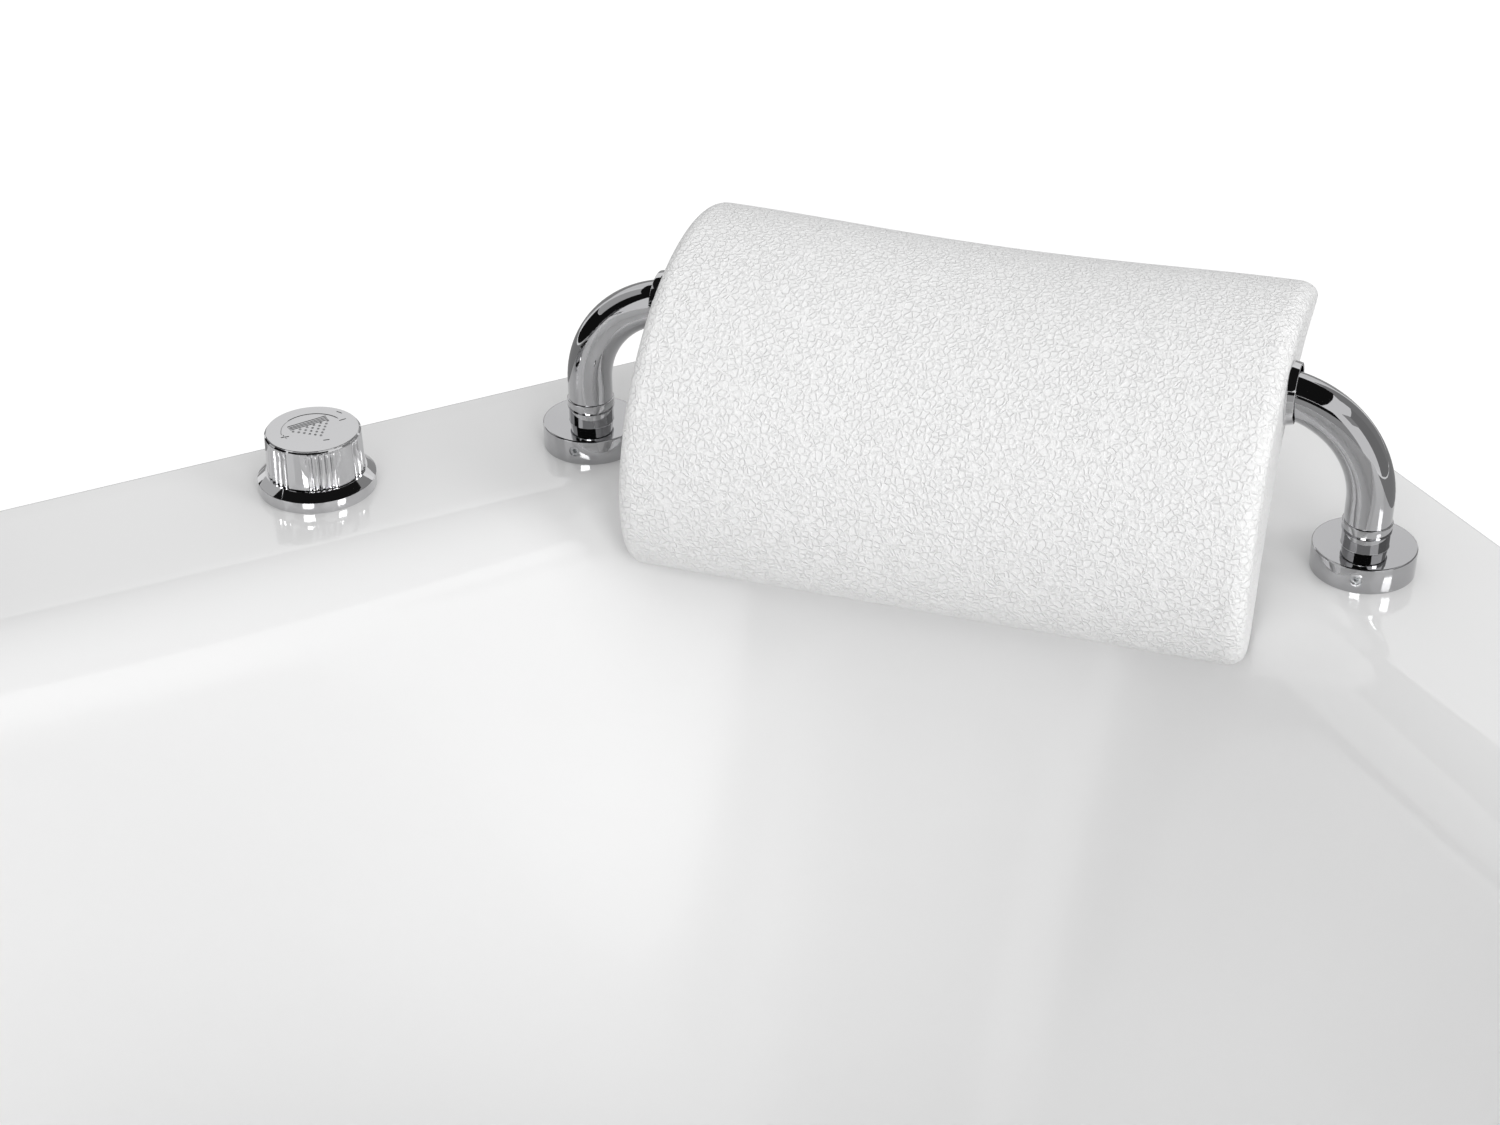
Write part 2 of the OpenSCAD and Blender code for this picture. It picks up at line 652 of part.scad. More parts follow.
module headrest_rail() {
    color("silver") at_headrest() {
        difference() {
            rail_path(rail_r, foot_z);
            rail_path(rail_r - rail_wall, foot_z + foot_ring_h);
        }
        for (s = [-1, 1]) translate([s * post_span / 2, 0, 0]) {
            translate([0, 0, foot_z]) cylinder(d = foot_ring_d, h = foot_ring_h);
            translate([0, 0, spigot_z]) cylinder(d = spigot_d, h = foot_z - spigot_z + 1);
        }
    }
}
grub_d = 6;
grub_z = 8;
module rosette() {
    difference() {
        union() {
            rotate_extrude() polygon([[0, 0], [rosette_d / 2, 0],
                [rosette_d / 2, rosette_h - 0.8], [rosette_d / 2 - 0.8, rosette_h],
                [0, rosette_h]]);
            cylinder(r = rail_r, h = foot_z - loose);
        }
        translate([0, 0, plate_low]) cylinder(r = spigot_d / 2 + loose, h = foot_z);
        translate([0, 0, -eps]) cylinder(r = stud_d / 2 + loose, h = plate_low + 2 * eps);
        translate([0, -spigot_d / 2, grub_z]) rotate([90, 0, 0])
            cylinder(r = grub_d / 2 + fit, h = rosette_d);
    }
}
module left_rosette() {
    color("silver") at_headrest() translate([-post_span / 2, 0, 0]) rosette();
}
module right_rosette() {
    color("silver") at_headrest() translate([post_span / 2, 0, 0]) rosette();
}
grub_inset = 1;
module grub_screws() {
    grub_len = rosette_d / 2 - grub_inset - spigot_d / 2 - fit;
    color("silver") at_headrest() for (s = [-1, 1])
        translate([s * post_span / 2, -rosette_d / 2 + grub_inset, grub_z])
            rotate([-90, 0, 0]) difference() {
                cylinder(d = grub_d, h = grub_len);
                translate([0, 0, -eps]) cylinder(d = grub_d / 2, h = 3 + eps, $fn = 6);
            }
}
stud_len = 34;       // stud under the ledge
module rosette_studs() {
    color("silver") at_headrest() for (s = [-1, 1]) translate([s * post_span / 2, 0, 0]) {
        translate([0, 0, -stud_len]) cylinder(d = stud_d, h = stud_len + plate_low + 1);
        translate([0, 0, plate_low]) cylinder(d = 2 * stud_d, h = stud_head);
    }
}
washer_t = 2;
module rosette_nuts() {
    nut_h = 0.8 * stud_d;
    color("silver") at_headrest() for (s = [-1, 1])
        translate([s * post_span / 2, 0, -shell_t - washer_t]) {
            ring(2 * stud_d, stud_d / 2 + fit, washer_t);
            translate([0, 0, -nut_h]) hex_nut(1.6 * stud_d, stud_d / 2 + fit, nut_h + 0.1);
        }
}

// Pillow: its section is thick round a curved middle line that passes the rail.
pillow_len = post_span - 2 * pillow_gap;
pillow_mid_deg = (pillow_low_deg + pillow_high_deg) / 2;
pillow_half_deg = (pillow_high_deg - pillow_low_deg) / 2;
pillow_centre = [-pillow_arc_r * cos(pillow_rail_deg),
    rail_h - pillow_arc_r * sin(pillow_rail_deg)];
outline_n = 32;
// Point q degrees round the section, drawn in by cut, as [towards the basin, up].
function pillow_point(q, cut, dip) = let(
    along = cos(q), out = sin(q),
    slim = out < 0 ? 1 - pillow_slim * (1 - along) / 2 : 1,
    half_t = pillow_half_t * (1 - pillow_taper * along) * slim - cut,
    sag = dip * max(0, out) * (1 + along) / 2,
    a = pillow_mid_deg + (pillow_half_deg - cut / pillow_arc_r * 180 / PI) * along,
    r = pillow_arc_r + half_t * out - sag)
    pillow_centre + r * [cos(a), sin(a)];
end_steps = 4;
mid_steps = 10;
// Stations along the pillow: [place, cut] with round ends.
pillow_stations = concat(
    [for (i = [0:end_steps]) let(q = 90 * i / end_steps)
        [-pillow_len / 2 + pillow_end_r * (1 - cos(q)), pillow_end_r * (1 - sin(q))]],
    [for (i = [1:mid_steps - 1])
        [(pillow_len / 2 - pillow_end_r) * (2 * i / mid_steps - 1), 0]],
    [for (i = [end_steps:-1:0]) let(q = 90 * i / end_steps)
        [pillow_len / 2 - pillow_end_r * (1 - cos(q)), pillow_end_r * (1 - sin(q))]]);
sleeve_r = rail_r + fit + sleeve_wall;
module headrest_pillow() {
    n = len(pillow_stations);
    m = outline_n;
    last = (n - 1) * m;
    color("whitesmoke") at_headrest() difference() {
        polyhedron(
            points = [for (s = pillow_stations, j = [0:m - 1]) let(
                dip = pillow_saddle * pow(cos(180 * s[0] / pillow_len), 2),
                p = pillow_point(360 * j / m, s[1], dip))
                [s[0], -p[0], p[1]]],
            faces = concat(
                [for (i = [0:n - 2], j = [0:m - 1])
                    let(k = (j + 1) % m, a = i * m + j, b = i * m + k)
                    each [[a, b, b + m], [a, b + m, a + m]]],
                [for (j = [0:m / 2 - 1]) each [
                    [j, (m - j) % m, (m - j) - 1], [j, (m - j) - 1, j + 1]]],
                [for (j = [0:m / 2 - 1]) each [
                    [last + j, last + (m - j) - 1, last + (m - j) % m],
                    [last + j, last + j + 1, last + (m - j) - 1]]]));
        translate([-pillow_len, 0, rail_h]) rotate([0, 90, 0])
            cylinder(r = sleeve_r + loose, h = 2 * pillow_len);
    }
}
sleeve_half = min(straight_half, pillow_len / 2) - 1;
module pillow_sleeve() {
    color("gray") at_headrest() translate([-sleeve_half, 0, rail_h]) rotate([0, 90, 0])
        ring(sleeve_r, rail_r + fit, 2 * sleeve_half);
}
module pillow_collars() {
    color("silver") at_headrest() for (s = [-1, 1])
        translate([s * pillow_len / 2, 0, rail_h]) rotate([0, s * 90, 0])
            rotate_extrude() polygon([[sleeve_r, 0], [collar_d / 2, 0],
                [collar_d / 2, 1.2], [collar_d / 2 - 0.8, collar_len],
                [sleeve_r, collar_len]]);
}

// Taps: z = 0 is the top of the ledge.
spindle_low = -shank_len - 8;
module tap_flange() {
    rotate_extrude($fn = 96) polygon([
        [shank_d / 2 + loose, 0], [flange_d / 2, 0], [flange_d / 2, flange_band],
        [flange_top_d / 2, flange_h], [shank_d / 2 + loose, flange_h]]);
}
knob_face_r = knob_d / 2 - flute_depth - 0.3;
flute_deg = 7;       // width of one flute; five flutes lie side by side in every 60
flute_degs = [for (g = [0:59]) if (g <= 5 * flute_deg || g % 5 == 0) g];
knob_turn = 3;       // turn of the flutes on the knob
function in_flute(g) = g < 5 * flute_deg ? (1 - cos(g * 360 / flute_deg)) / 2 : 0;
module tap_knob() {
    top_z = flange_h + seat;
    difference() {
        union() {
            translate([0, 0, top_z]) linear_extrude(knob_h - 1)
                polygon([for (k = [0:5], g = flute_degs) let(a = 60 * k + knob_turn + g)
                    (knob_d / 2 - flute_depth * in_flute(g)) * [cos(a), sin(a)]]);
            translate([0, 0, top_z + knob_h - 1])
                cylinder(r1 = knob_face_r, r2 = knob_face_r - 1, h = 1);
        }
        translate([0, 0, top_z - eps]) difference() {
            cylinder(r = knob_d / 2 - knob_wall - 1, h = knob_h - knob_wall);
            cylinder(r = spindle_d / 2 + 4, h = knob_h);
        }
        translate([0, 0, top_z - 1]) cylinder(r = spindle_d / 2 + fit, h = knob_h - 6);
    }
}
module tap_spindle() {
    translate([0, 0, spindle_low])
        cylinder(d = spindle_d, h = flange_h + knob_h - 7 - spindle_low);
}
port_len = 8;        // length of a valve's side port
port_r = valve_d / 2 + port_len;
module tap_valve() {
    difference() {
        union() {
            translate([0, 0, -shank_len]) cylinder(d = shank_d, h = shank_len + flange_h - 3);
            translate([0, 0, -shank_len - valve_h]) cylinder(d = valve_d, h = valve_h);
            children();
        }
        translate([0, 0, spindle_low - seat])
            cylinder(r = spindle_d / 2 + fit, h = shank_len + 60);
    }
}
module lock_nut() {
    translate([0, 0, -shell_t - washer_t]) ring(shank_d / 2 + 8, shank_d / 2 + fit, washer_t);
    translate([0, 0, -shell_t - washer_t - 10])
        hex_nut(1.45 * shank_d, shank_d / 2 + fit, 10.1);
}
// A side port that a water pipe butts against, in direction a at height z.
module port(a, z) {
    translate([0, 0, z]) rotate([0, 90, a]) cylinder(d = pipe_d + 6, h = port_r - fit);
}
mixed_z = -shank_len - 12;
spout_pipe_z = -shank_len - 30;
shower_pipe_z = -shank_len - 56;

module diverter_flange() { color("silver") on_ledge(diverter_u) tap_flange(); }
module diverter_body() {
    color("goldenrod") on_ledge(diverter_u) tap_valve() {
        port(0, mixed_z);
        port(90, spout_pipe_z);
        port(90, shower_pipe_z);
    }
}
module diverter_locknut() { color("goldenrod") on_ledge(diverter_u) lock_nut(); }
module diverter_spindle() { color("silver") on_ledge(diverter_u) tap_spindle(); }
module diverter_knob() { color("silver") on_ledge(diverter_u) tap_knob(); }

inlet_len = 16;
inlet_gap = 50;      // distance between the two supply threads
module mixer_flange() { color("silver") on_ledge(mixer_u) tap_flange(); }
module mixer_body() {
    low = -shank_len - valve_h;
    block_d = inlet_d + 13;
    block_w = inlet_gap + block_d;
    color("goldenrod") on_ledge(mixer_u) tap_valve() {
        port(180, mixed_z);
        translate([-block_w / 2, -block_d / 2, low]) cube([block_w, block_d, 24]);
        for (s = [-1, 1]) translate([s * inlet_gap / 2, 0, low - inlet_len])
            cylinder(d = inlet_d, h = inlet_len + 1, $fn = 96);
    }
}
module mixer_locknut() { color("goldenrod") on_ledge(mixer_u) lock_nut(); }
module mixer_spindle() { color("silver") on_ledge(mixer_u) tap_spindle(); }
module mixer_knob() { color("silver") on_ledge(mixer_u) tap_knob(); }

// Body under the ledge of the spout or the hand shower, with its side port at z.
base_port_r = shank_d / 2 + port_len + 4;
module under_body(z) {
    low = z - 14;
    translate([0, 0, low]) cylinder(d = shank_d + 6, h = -shank_len - low);
    translate([0, 0, z]) rotate([-90, 0, 0])
        cylinder(d = pipe_d + 6, h = base_port_r - fit);
}

// Spout: a swan neck that swivels in its base.
spout_base_h = 14;
spout_bend_r = 40;
spout_tail_r = 7;
spout_wall = 2.5;
tip_bend_r = 22;     // bend at the spout's mouth
tip_len = 12;
tip_bore_len = 15.5;
module spout_base() {
    color("silver") on_ledge(spout_u) difference() {
        union() {
            rotate_extrude() polygon([[0, 0], [rosette_d / 2, 0],
                [rosette_d / 2, spout_base_h - 1], [rosette_d / 2 - 1, spout_base_h],
                [0, spout_base_h]]);
            translate([0, 0, -shank_len]) cylinder(d = shank_d, h = shank_len + 1);
            under_body(spout_pipe_z);
        }
        translate([0, 0, -shank_len - 10]) cylinder(r = spout_tail_r + fit, h = shank_len + 40);
    }
}
module spout_locknut() { color("goldenrod") on_ledge(spout_u) lock_nut(); }
module bath_spout() {
    r = spout_d / 2;
    neck = spout_base_h + seat;
    arm_z = neck + spout_rise;
    tip_y = spout_reach;
    tip_z = arm_z - tip_bend_r - tip_len;
    color("silver") on_ledge(spout_u) difference() {
        union() {
            translate([0, 0, -shank_len]) cylinder(r = spout_tail_r, h = shank_len + neck + 1);
            translate([0, 0, neck]) cylinder(r = r, h = spout_rise - spout_bend_r);
            translate([0, spout_bend_r, arm_z - spout_bend_r]) rotate([0, -90, 0])
                rotate_extrude(angle = -90) translate([spout_bend_r, 0]) circle(r = r);
            translate([0, spout_bend_r, arm_z]) rotate([-90, 0, 0])
                cylinder(r = r, h = tip_y - spout_bend_r - tip_bend_r);
            translate([0, tip_y - tip_bend_r, arm_z - tip_bend_r]) rotate([0, -90, 0])
                rotate_extrude(angle = 90) translate([tip_bend_r, 0]) circle(r = r);
            translate([0, tip_y, tip_z]) cylinder(r = r, h = tip_len);
        }
        translate([0, tip_y, tip_z - eps]) cylinder(r = r - spout_wall, h = tip_bore_len + eps);
    }
}

// Hand shower: stands in a socket on the ledge and lifts out of it.
socket_h = 22;
socket_bore_r = 10.2;
stem_r = 10;
handle_r = 12.5;
head_turn = 110;     // turn of the head's face from straight up to the basin
head_t = 16;
head_overlap = 14;   // handle's end inside the head's edge
face_out = 16.6;     // head's face before the handle's axis
module shower_socket() {
    color("silver") on_ledge(shower_u) difference() {
        union() {
            rotate_extrude() polygon([[0, 0], [rosette_d / 2, 0], [rosette_d / 2, 8],
                [18, socket_h], [0, socket_h]]);
            translate([0, 0, -shank_len]) cylinder(d = shank_d, h = shank_len + 1);
            under_body(shower_pipe_z);
        }
        translate([0, 0, -shank_len - 20]) cylinder(r = socket_bore_r, h = shank_len + 60);
    }
}
module shower_locknut() { color("goldenrod") on_ledge(shower_u) lock_nut(); }
module at_rose() {
    on_ledge(shower_u) translate([0, 0, socket_h + seat + handset_len])
        rotate([-head_turn, 0, 0])
            translate([0, head_overlap - rose_d / 2, face_out]) children();
}
module shower_handset() {
    color("silver") {
        on_ledge(shower_u) {
            translate([0, 0, -28]) cylinder(r = stem_r, h = socket_h + 30);
            translate([0, 0, socket_h + seat]) cylinder(r = handle_r, h = handset_len);
        }
        at_rose() translate([0, 0, -head_t]) rotate_extrude() polygon([
            [0, -6], [rose_d / 4, -4], [rose_d / 2 - 2, 2], [rose_d / 2, 5],
            [rose_d / 2, head_t], [0, head_t]]);
    }
}
module shower_rose() {
    color("gray") at_rose() translate([0, 0, fit]) {
        cylinder(r = rose_d / 2 - 6, h = 2.5);
        for (i = [1:3], k = [0:6 * i - 1]) rotate([0, 0, 60 * k / i])
            translate([i * (rose_d / 2 - 14) / 3, 0, 2]) cylinder(r = 1.5, h = 2, $fn = 16);
    }
}

// Water pipes under the ledge, butting against the ports.
module straight_pipe(u1, u2, z) {
    on_ledge(u1) translate([0, 0, z]) rotate([0, 90, 0])
        difference() {
            cylinder(d = pipe_d, h = u2 - u1);
            translate([0, 0, -eps]) cylinder(r = pipe_d / 2 - 1, h = u2 - u1 + 2 * eps);
        }
}
// A pipe that leaves two ports sideways and runs along the wall between them.
module side_pipe(u1, u2, z, start, stop) {
    r = pipe_d / 2;
    bend_y = max(start, stop) + 1;
    on_ledge(u1) translate([0, 0, z]) {
        translate([0, start, 0]) rotate([-90, 0, 0]) cylinder(r = r, h = bend_y - start);
        translate([pipe_bend_r, bend_y, 0]) rotate([0, 0, 90])
            rotate_extrude(angle = 90) translate([pipe_bend_r, 0]) circle(r = r);
        translate([pipe_bend_r, bend_y + pipe_bend_r, 0]) rotate([0, 90, 0])
            cylinder(r = r, h = u2 - u1 - 2 * pipe_bend_r);
        translate([u2 - u1 - pipe_bend_r, bend_y, 0])
            rotate_extrude(angle = 90) translate([pipe_bend_r, 0]) circle(r = r);
        translate([u2 - u1, stop, 0]) rotate([-90, 0, 0]) cylinder(r = r, h = bend_y - stop);
    }
}
module mixed_water_pipe() {
    color("peru") straight_pipe(diverter_u + port_r, mixer_u - port_r, mixed_z);
}
module spout_pipe() {
    color("peru") side_pipe(diverter_u, spout_u, spout_pipe_z, port_r, base_port_r);
}
module shower_pipe() {
    color("peru") side_pipe(diverter_u, shower_u, shower_pipe_z, port_r, base_port_r);
}

tub_shell();
base_board();
front_apron();
apron_brackets();
apron_screws();
frame_front_rail();
frame_middle_rail();
frame_spine_rail();
frame_uprights();
foot_rods();
foot_nuts();
foot_pads();
waste_flange();
waste_gasket();
waste_body();
waste_outlet();
waste_plug();
overflow_body();
overflow_face();
overflow_knob();
overflow_pipe();
plug_cable();
headrest_rail();
left_rosette();
right_rosette();
grub_screws();
rosette_studs();
rosette_nuts();
pillow_sleeve();
headrest_pillow();
pillow_collars();
diverter_flange();
diverter_body();
diverter_locknut();
diverter_spindle();
diverter_knob();
mixer_flange();
mixer_body();
mixer_locknut();
mixer_spindle();
mixer_knob();
spout_base();
spout_locknut();
bath_spout();
shower_socket();
shower_locknut();
shower_handset();
shower_rose();
mixed_water_pipe();
spout_pipe();
shower_pipe();
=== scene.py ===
"""White corner bath with a headrest rail, a pillow and deck taps.

Lengths are in metres, in the frame of the solids: the corner of the two walls
is at +Y, the curved front at -Y, and the ledge lies at z = 0.6.
"""

import json

import bmesh
import bpy
import numpy as np
from mathutils import Matrix, Vector


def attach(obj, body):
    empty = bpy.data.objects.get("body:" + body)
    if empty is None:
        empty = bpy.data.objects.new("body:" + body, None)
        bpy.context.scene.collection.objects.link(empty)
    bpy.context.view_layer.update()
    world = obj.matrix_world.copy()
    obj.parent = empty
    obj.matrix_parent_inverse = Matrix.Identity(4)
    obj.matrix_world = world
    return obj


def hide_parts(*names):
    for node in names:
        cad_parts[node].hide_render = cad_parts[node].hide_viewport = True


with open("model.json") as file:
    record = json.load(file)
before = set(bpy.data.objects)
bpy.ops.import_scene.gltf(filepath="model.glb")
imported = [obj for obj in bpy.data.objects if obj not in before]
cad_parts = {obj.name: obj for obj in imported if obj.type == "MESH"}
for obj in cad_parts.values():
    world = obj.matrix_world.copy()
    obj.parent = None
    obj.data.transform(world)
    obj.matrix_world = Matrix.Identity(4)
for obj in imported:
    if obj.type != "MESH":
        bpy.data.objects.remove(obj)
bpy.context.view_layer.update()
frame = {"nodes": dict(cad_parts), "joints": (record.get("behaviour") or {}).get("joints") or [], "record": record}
nodes = frame["nodes"]

# ---------------------------------------------------------------- camera
EYE = (0.3310, -0.8841, 1.4149)
TURN, PITCH, ROLL = np.radians([19.06, 32.09, 0.58])


def aim_camera():
    """Camera at EYE, turned from +Y towards -X, then tipped down, then rolled."""
    data = bpy.data.cameras.new("camera")
    data.sensor_width = 36.0
    data.lens = 67.2
    data.clip_end = 60.0
    camera = bpy.data.objects.new("camera", data)
    bpy.context.scene.collection.objects.link(camera)
    turn = Matrix.Rotation(TURN, 4, "Z") @ Matrix.Rotation(np.pi / 2 - PITCH, 4, "X")
    camera.matrix_world = Matrix.Translation(EYE) @ turn @ Matrix.Rotation(-ROLL, 4, "Z")
    bpy.context.scene.camera = camera


aim_camera()

# ---------------------------------------------------------------- sizes
SIDE = 1.350            # straight wall side
DEPTH = 1.560           # wall corner to the middle of the front
CORNER_TO_WASTE = 0.811
LEDGE_Z = 0.600
LEDGE_W = 0.110         # walls and front to the basin
BASIN_DEPTH = 0.430
SHELL_T = 0.006
LIP_H = 0.045
EDGE_FILLET = 0.004
INNER_EDGE = 0.0015     # inside the outer edge
TOP_FILLET = 0.060
FLOOR_FILLET = 0.090
FLOOR_WALL_IN = 0.250   # walls to the flat floor
FLOOR_FRONT_IN = 0.290  # front to the flat floor
FLOOR_BACK = 0.150      # waste to the flat floor's back
OUTER_POWER, BASIN_POWER, FLOOR_POWER = 60, 20, 5   # the higher, the sharper the corners
WASTE_HOLE_R = 0.025
OVERFLOW_HOLE_R = 0.025
SHANK_HOLE_R = 0.013
STUD_HOLE_R = 0.005
HALF_WIDTH = SIDE / np.sqrt(2)
FRONT_RISE = DEPTH - HALF_WIDTH
FRONT_R = (HALF_WIDTH**2 + FRONT_RISE**2) / (2 * FRONT_RISE)
FRONT_CY = CORNER_TO_WASTE - DEPTH + FRONT_R
WALL_DIST = CORNER_TO_WASTE / np.sqrt(2)
POST_X = 0.225
POST_IN = 0.0821        # posts from the wall edge
BACK_PAST_RAIL = 0.050  # rail's axis to the basin's back
RAIL_H = 0.0995         # rail's axis above the ledge
RAIL_R = 0.013
BEND_R = 0.058
TAP_IN = 0.056          # taps from the wall edge
DIVERTER_U, MIXER_U, SPOUT_U, SHOWER_U = 0.561, 0.817, 0.957, 1.077   # from the corner


def reach(a, wall_in, front_in, back, power):
    """Distance from the waste to a rounded outline in direction a: one over the
    power mean of one over the distances to both walls, a back line and the front."""
    walls = [np.clip(np.cos(a - n), 0, None) / (WALL_DIST - wall_in)
             for n in (0.25 * np.pi, 0.75 * np.pi)]
    line = np.clip(np.sin(a), 0, None) / back
    circle = 1 / (FRONT_CY * np.sin(a)
                  + np.sqrt((FRONT_R - front_in) ** 2 - (FRONT_CY * np.cos(a)) ** 2))
    return sum(v**power for v in (*walls, line, circle)) ** (-1 / power)


def outer_reach(a):
    """Reach of the outer edge, with the back line too far off to count."""
    return reach(a, 0.0, 0.0, 2 * DEPTH, OUTER_POWER)


WASTE_Y = float((DEPTH - CORNER_TO_WASTE - outer_reach(np.array(0.5 * np.pi))) / 2)
CORNER_Y = WASTE_Y + CORNER_TO_WASTE
RAIL_Y = CORNER_Y - POST_X - POST_IN * np.sqrt(2)


def basin_reach(a):
    """Reach of the basin's upper edge, with its back line behind the rail."""
    return reach(a, LEDGE_W, LEDGE_W, RAIL_Y + BACK_PAST_RAIL - WASTE_Y, BASIN_POWER)


def floor_reach(a):
    """Reach of the basin's flat floor."""
    return reach(a, FLOOR_WALL_IN, FLOOR_FRONT_IN, FLOOR_BACK, FLOOR_POWER)


# ---------------------------------------------------------------- mesh helpers
def grid_faces(n, m, wrap_n, wrap_m, start):
    """Quads between n rows of m points; a wrapped way joins its end to its start."""
    i = np.arange(n if wrap_n else n - 1)[:, None]
    j = np.arange(m if wrap_m else m - 1)[None, :]
    i2, j2 = (i + 1) % n, (j + 1) % m
    quads = np.stack(np.broadcast_arrays(
        i * m + j, i * m + j2, i2 * m + j2, i2 * m + j), axis=-1)
    return quads.reshape(-1, 4) + start


def build(name, grids, sharp=35.0, wrap=(False, True)):
    """Object from grids of points[n, m, 3], smooth but for edges over sharp
    degrees. Wrap: do the rows, and the points of a row, join end to start."""
    points, quads, start = [], [], 0
    for grid in grids:
        n, m = grid.shape[:2]
        points.append(grid.reshape(-1, 3))
        quads.append(grid_faces(n, m, *wrap, start))
        start += n * m
    mesh = bpy.data.meshes.new(name)
    mesh.from_pydata(np.concatenate(points).tolist(), [], np.concatenate(quads).tolist())
    piece = bpy.data.objects.new(name, mesh)
    bpy.context.scene.collection.objects.link(piece)
    weld(mesh)
    smooth(mesh, sharp)
    return piece


def weld(mesh):
    """Merges the points of seams and poles, and turns every face outwards."""
    b = bmesh.new()
    b.from_mesh(mesh)
    bmesh.ops.remove_doubles(b, verts=b.verts, dist=2e-6)
    bmesh.ops.recalc_face_normals(b, faces=b.faces)
    b.to_mesh(mesh)
    b.free()


def smooth(mesh, sharp):
    """Smooth shading, with edges that turn by more than sharp degrees kept sharp."""
    mesh.polygons.foreach_set("use_smooth", np.ones(len(mesh.polygons), bool))
    mesh.set_sharp_from_angle(angle=np.radians(sharp))
    mesh.update()


def cut(piece, cutter, sharp=35.0):
    """Takes the cutter's volume out of the piece for good."""
    tool = piece.modifiers.new("cut", "BOOLEAN")
    tool.operation, tool.solver, tool.object = "DIFFERENCE", "EXACT", cutter
    dg = bpy.context.evaluated_depsgraph_get()
    mesh = bpy.data.meshes.new_from_object(piece.evaluated_get(dg))
    piece.modifiers.clear()
    piece.data = mesh
    bpy.data.objects.remove(cutter)
    smooth(mesh, sharp)


def face_vectors(piece, what):
    """The normal or the center of each face, as rows."""
    values = np.zeros(len(piece.data.polygons) * 3)
    piece.data.polygons.foreach_get(what, values)
    return values.reshape(-1, 3)


def spin(profile, count=192):
    """Surface of revolution round Z: each [r, z] of the profile swept round."""
    a = np.linspace(0, 2 * np.pi, count, endpoint=False)[None, :]
    r, z = np.asarray(profile, float).T[:, :, None]
    return np.stack([r * np.cos(a), r * np.sin(a), z + 0 * a], axis=-1)


def rod(radius, low, high, count=192):
    """Round bar on Z with flat ends: a rectangle swept round."""
    return spin([[0, low], [radius, low], [radius, high], [0, high]], count)


def rounded(corners, radii, steps=5):
    """Profile with each inner corner replaced by an arc of its radius: a circle
    tangent to both sides, its centre on the corner's bisector."""
    c = np.asarray(corners, float)
    out = [c[:1]]
    for p, q, s, r in zip(c[:-2], c[1:-1], c[2:], radii[1:-1]):
        u, v = (p - q) / np.linalg.norm(p - q), (s - q) / np.linalg.norm(s - q)
        half = 0.5 * np.arccos(np.clip(u @ v, -1, 1))
        w = (u + v) / max(np.linalg.norm(u + v), 1e-9)
        centre = q + w * r / np.sin(half)
        first, last = q + u * r / np.tan(half) - centre, q + v * r / np.tan(half) - centre
        t = np.linspace(0, 1, steps + 1)[:, None]
        angle = np.pi - 2 * half
        out.append(centre + (np.sin((1 - t) * angle) * first
                             + np.sin(t * angle) * last) / np.sin(angle))
    return np.concatenate(out + [c[-1:]])


def tube(path, radius, across, count=96):
    """Round bar along a flat path, closed at its ends: a circle spanned by the
    path's in-plane normal and the direction across the plane, at every point."""
    path = np.asarray(path, float)
    along = np.gradient(path, axis=0)
    along /= np.linalg.norm(along, axis=1, keepdims=True)
    across = np.asarray(across, float)
    normal = np.cross(across, along)
    a = np.linspace(0, 2 * np.pi, count, endpoint=False)[None, :, None]
    rings = path[:, None] + radius * (np.cos(a) * normal[:, None] + np.sin(a) * across)
    return np.concatenate([path[:1, None] + 0 * rings[:1], rings,
                           path[-1:, None] + 0 * rings[-1:]])


def bend(centre, radius, first, last, turn, steps=28):
    """Arc points: centre + radius (cos t first + sin t last), t from 0 to turn."""
    t = np.linspace(0, turn, steps)[:, None]
    return np.asarray(centre) + radius * (np.cos(t) * np.asarray(first)
                                          + np.sin(t) * np.asarray(last))


def put(points, origin, x=(1, 0, 0), y=(0, 1, 0), z=(0, 0, 1)):
    """Local points moved to origin with the given axes."""
    return np.asarray(points) @ np.array([x, y, z], float) + np.asarray(origin, float)


S2 = np.sqrt(0.5)


def on_ledge(points, u):
    """Points placed on the left wall's ledge, u from the corner: X runs along the
    wall away from the corner, Y towards the basin."""
    wall, inward = np.array([-S2, -S2, 0]), np.array([S2, -S2, 0])
    origin = np.array([0, CORNER_Y, LEDGE_Z]) + u * wall + TAP_IN * inward
    return put(points, origin, wall, inward)


def at_post(points, side):
    """Points placed on the ledge under the rail's left (-1) or right (1) leg."""
    return put(points, (side * POST_X, RAIL_Y, LEDGE_Z))


def on_rail(points, x, facing=1):
    """Points placed at x on the rail's axis, their Z along it, that way or back."""
    return put(points, (x, RAIL_Y, LEDGE_Z + RAIL_H), (0, 1, 0), (0, 0, 1), (facing, 0, 0))


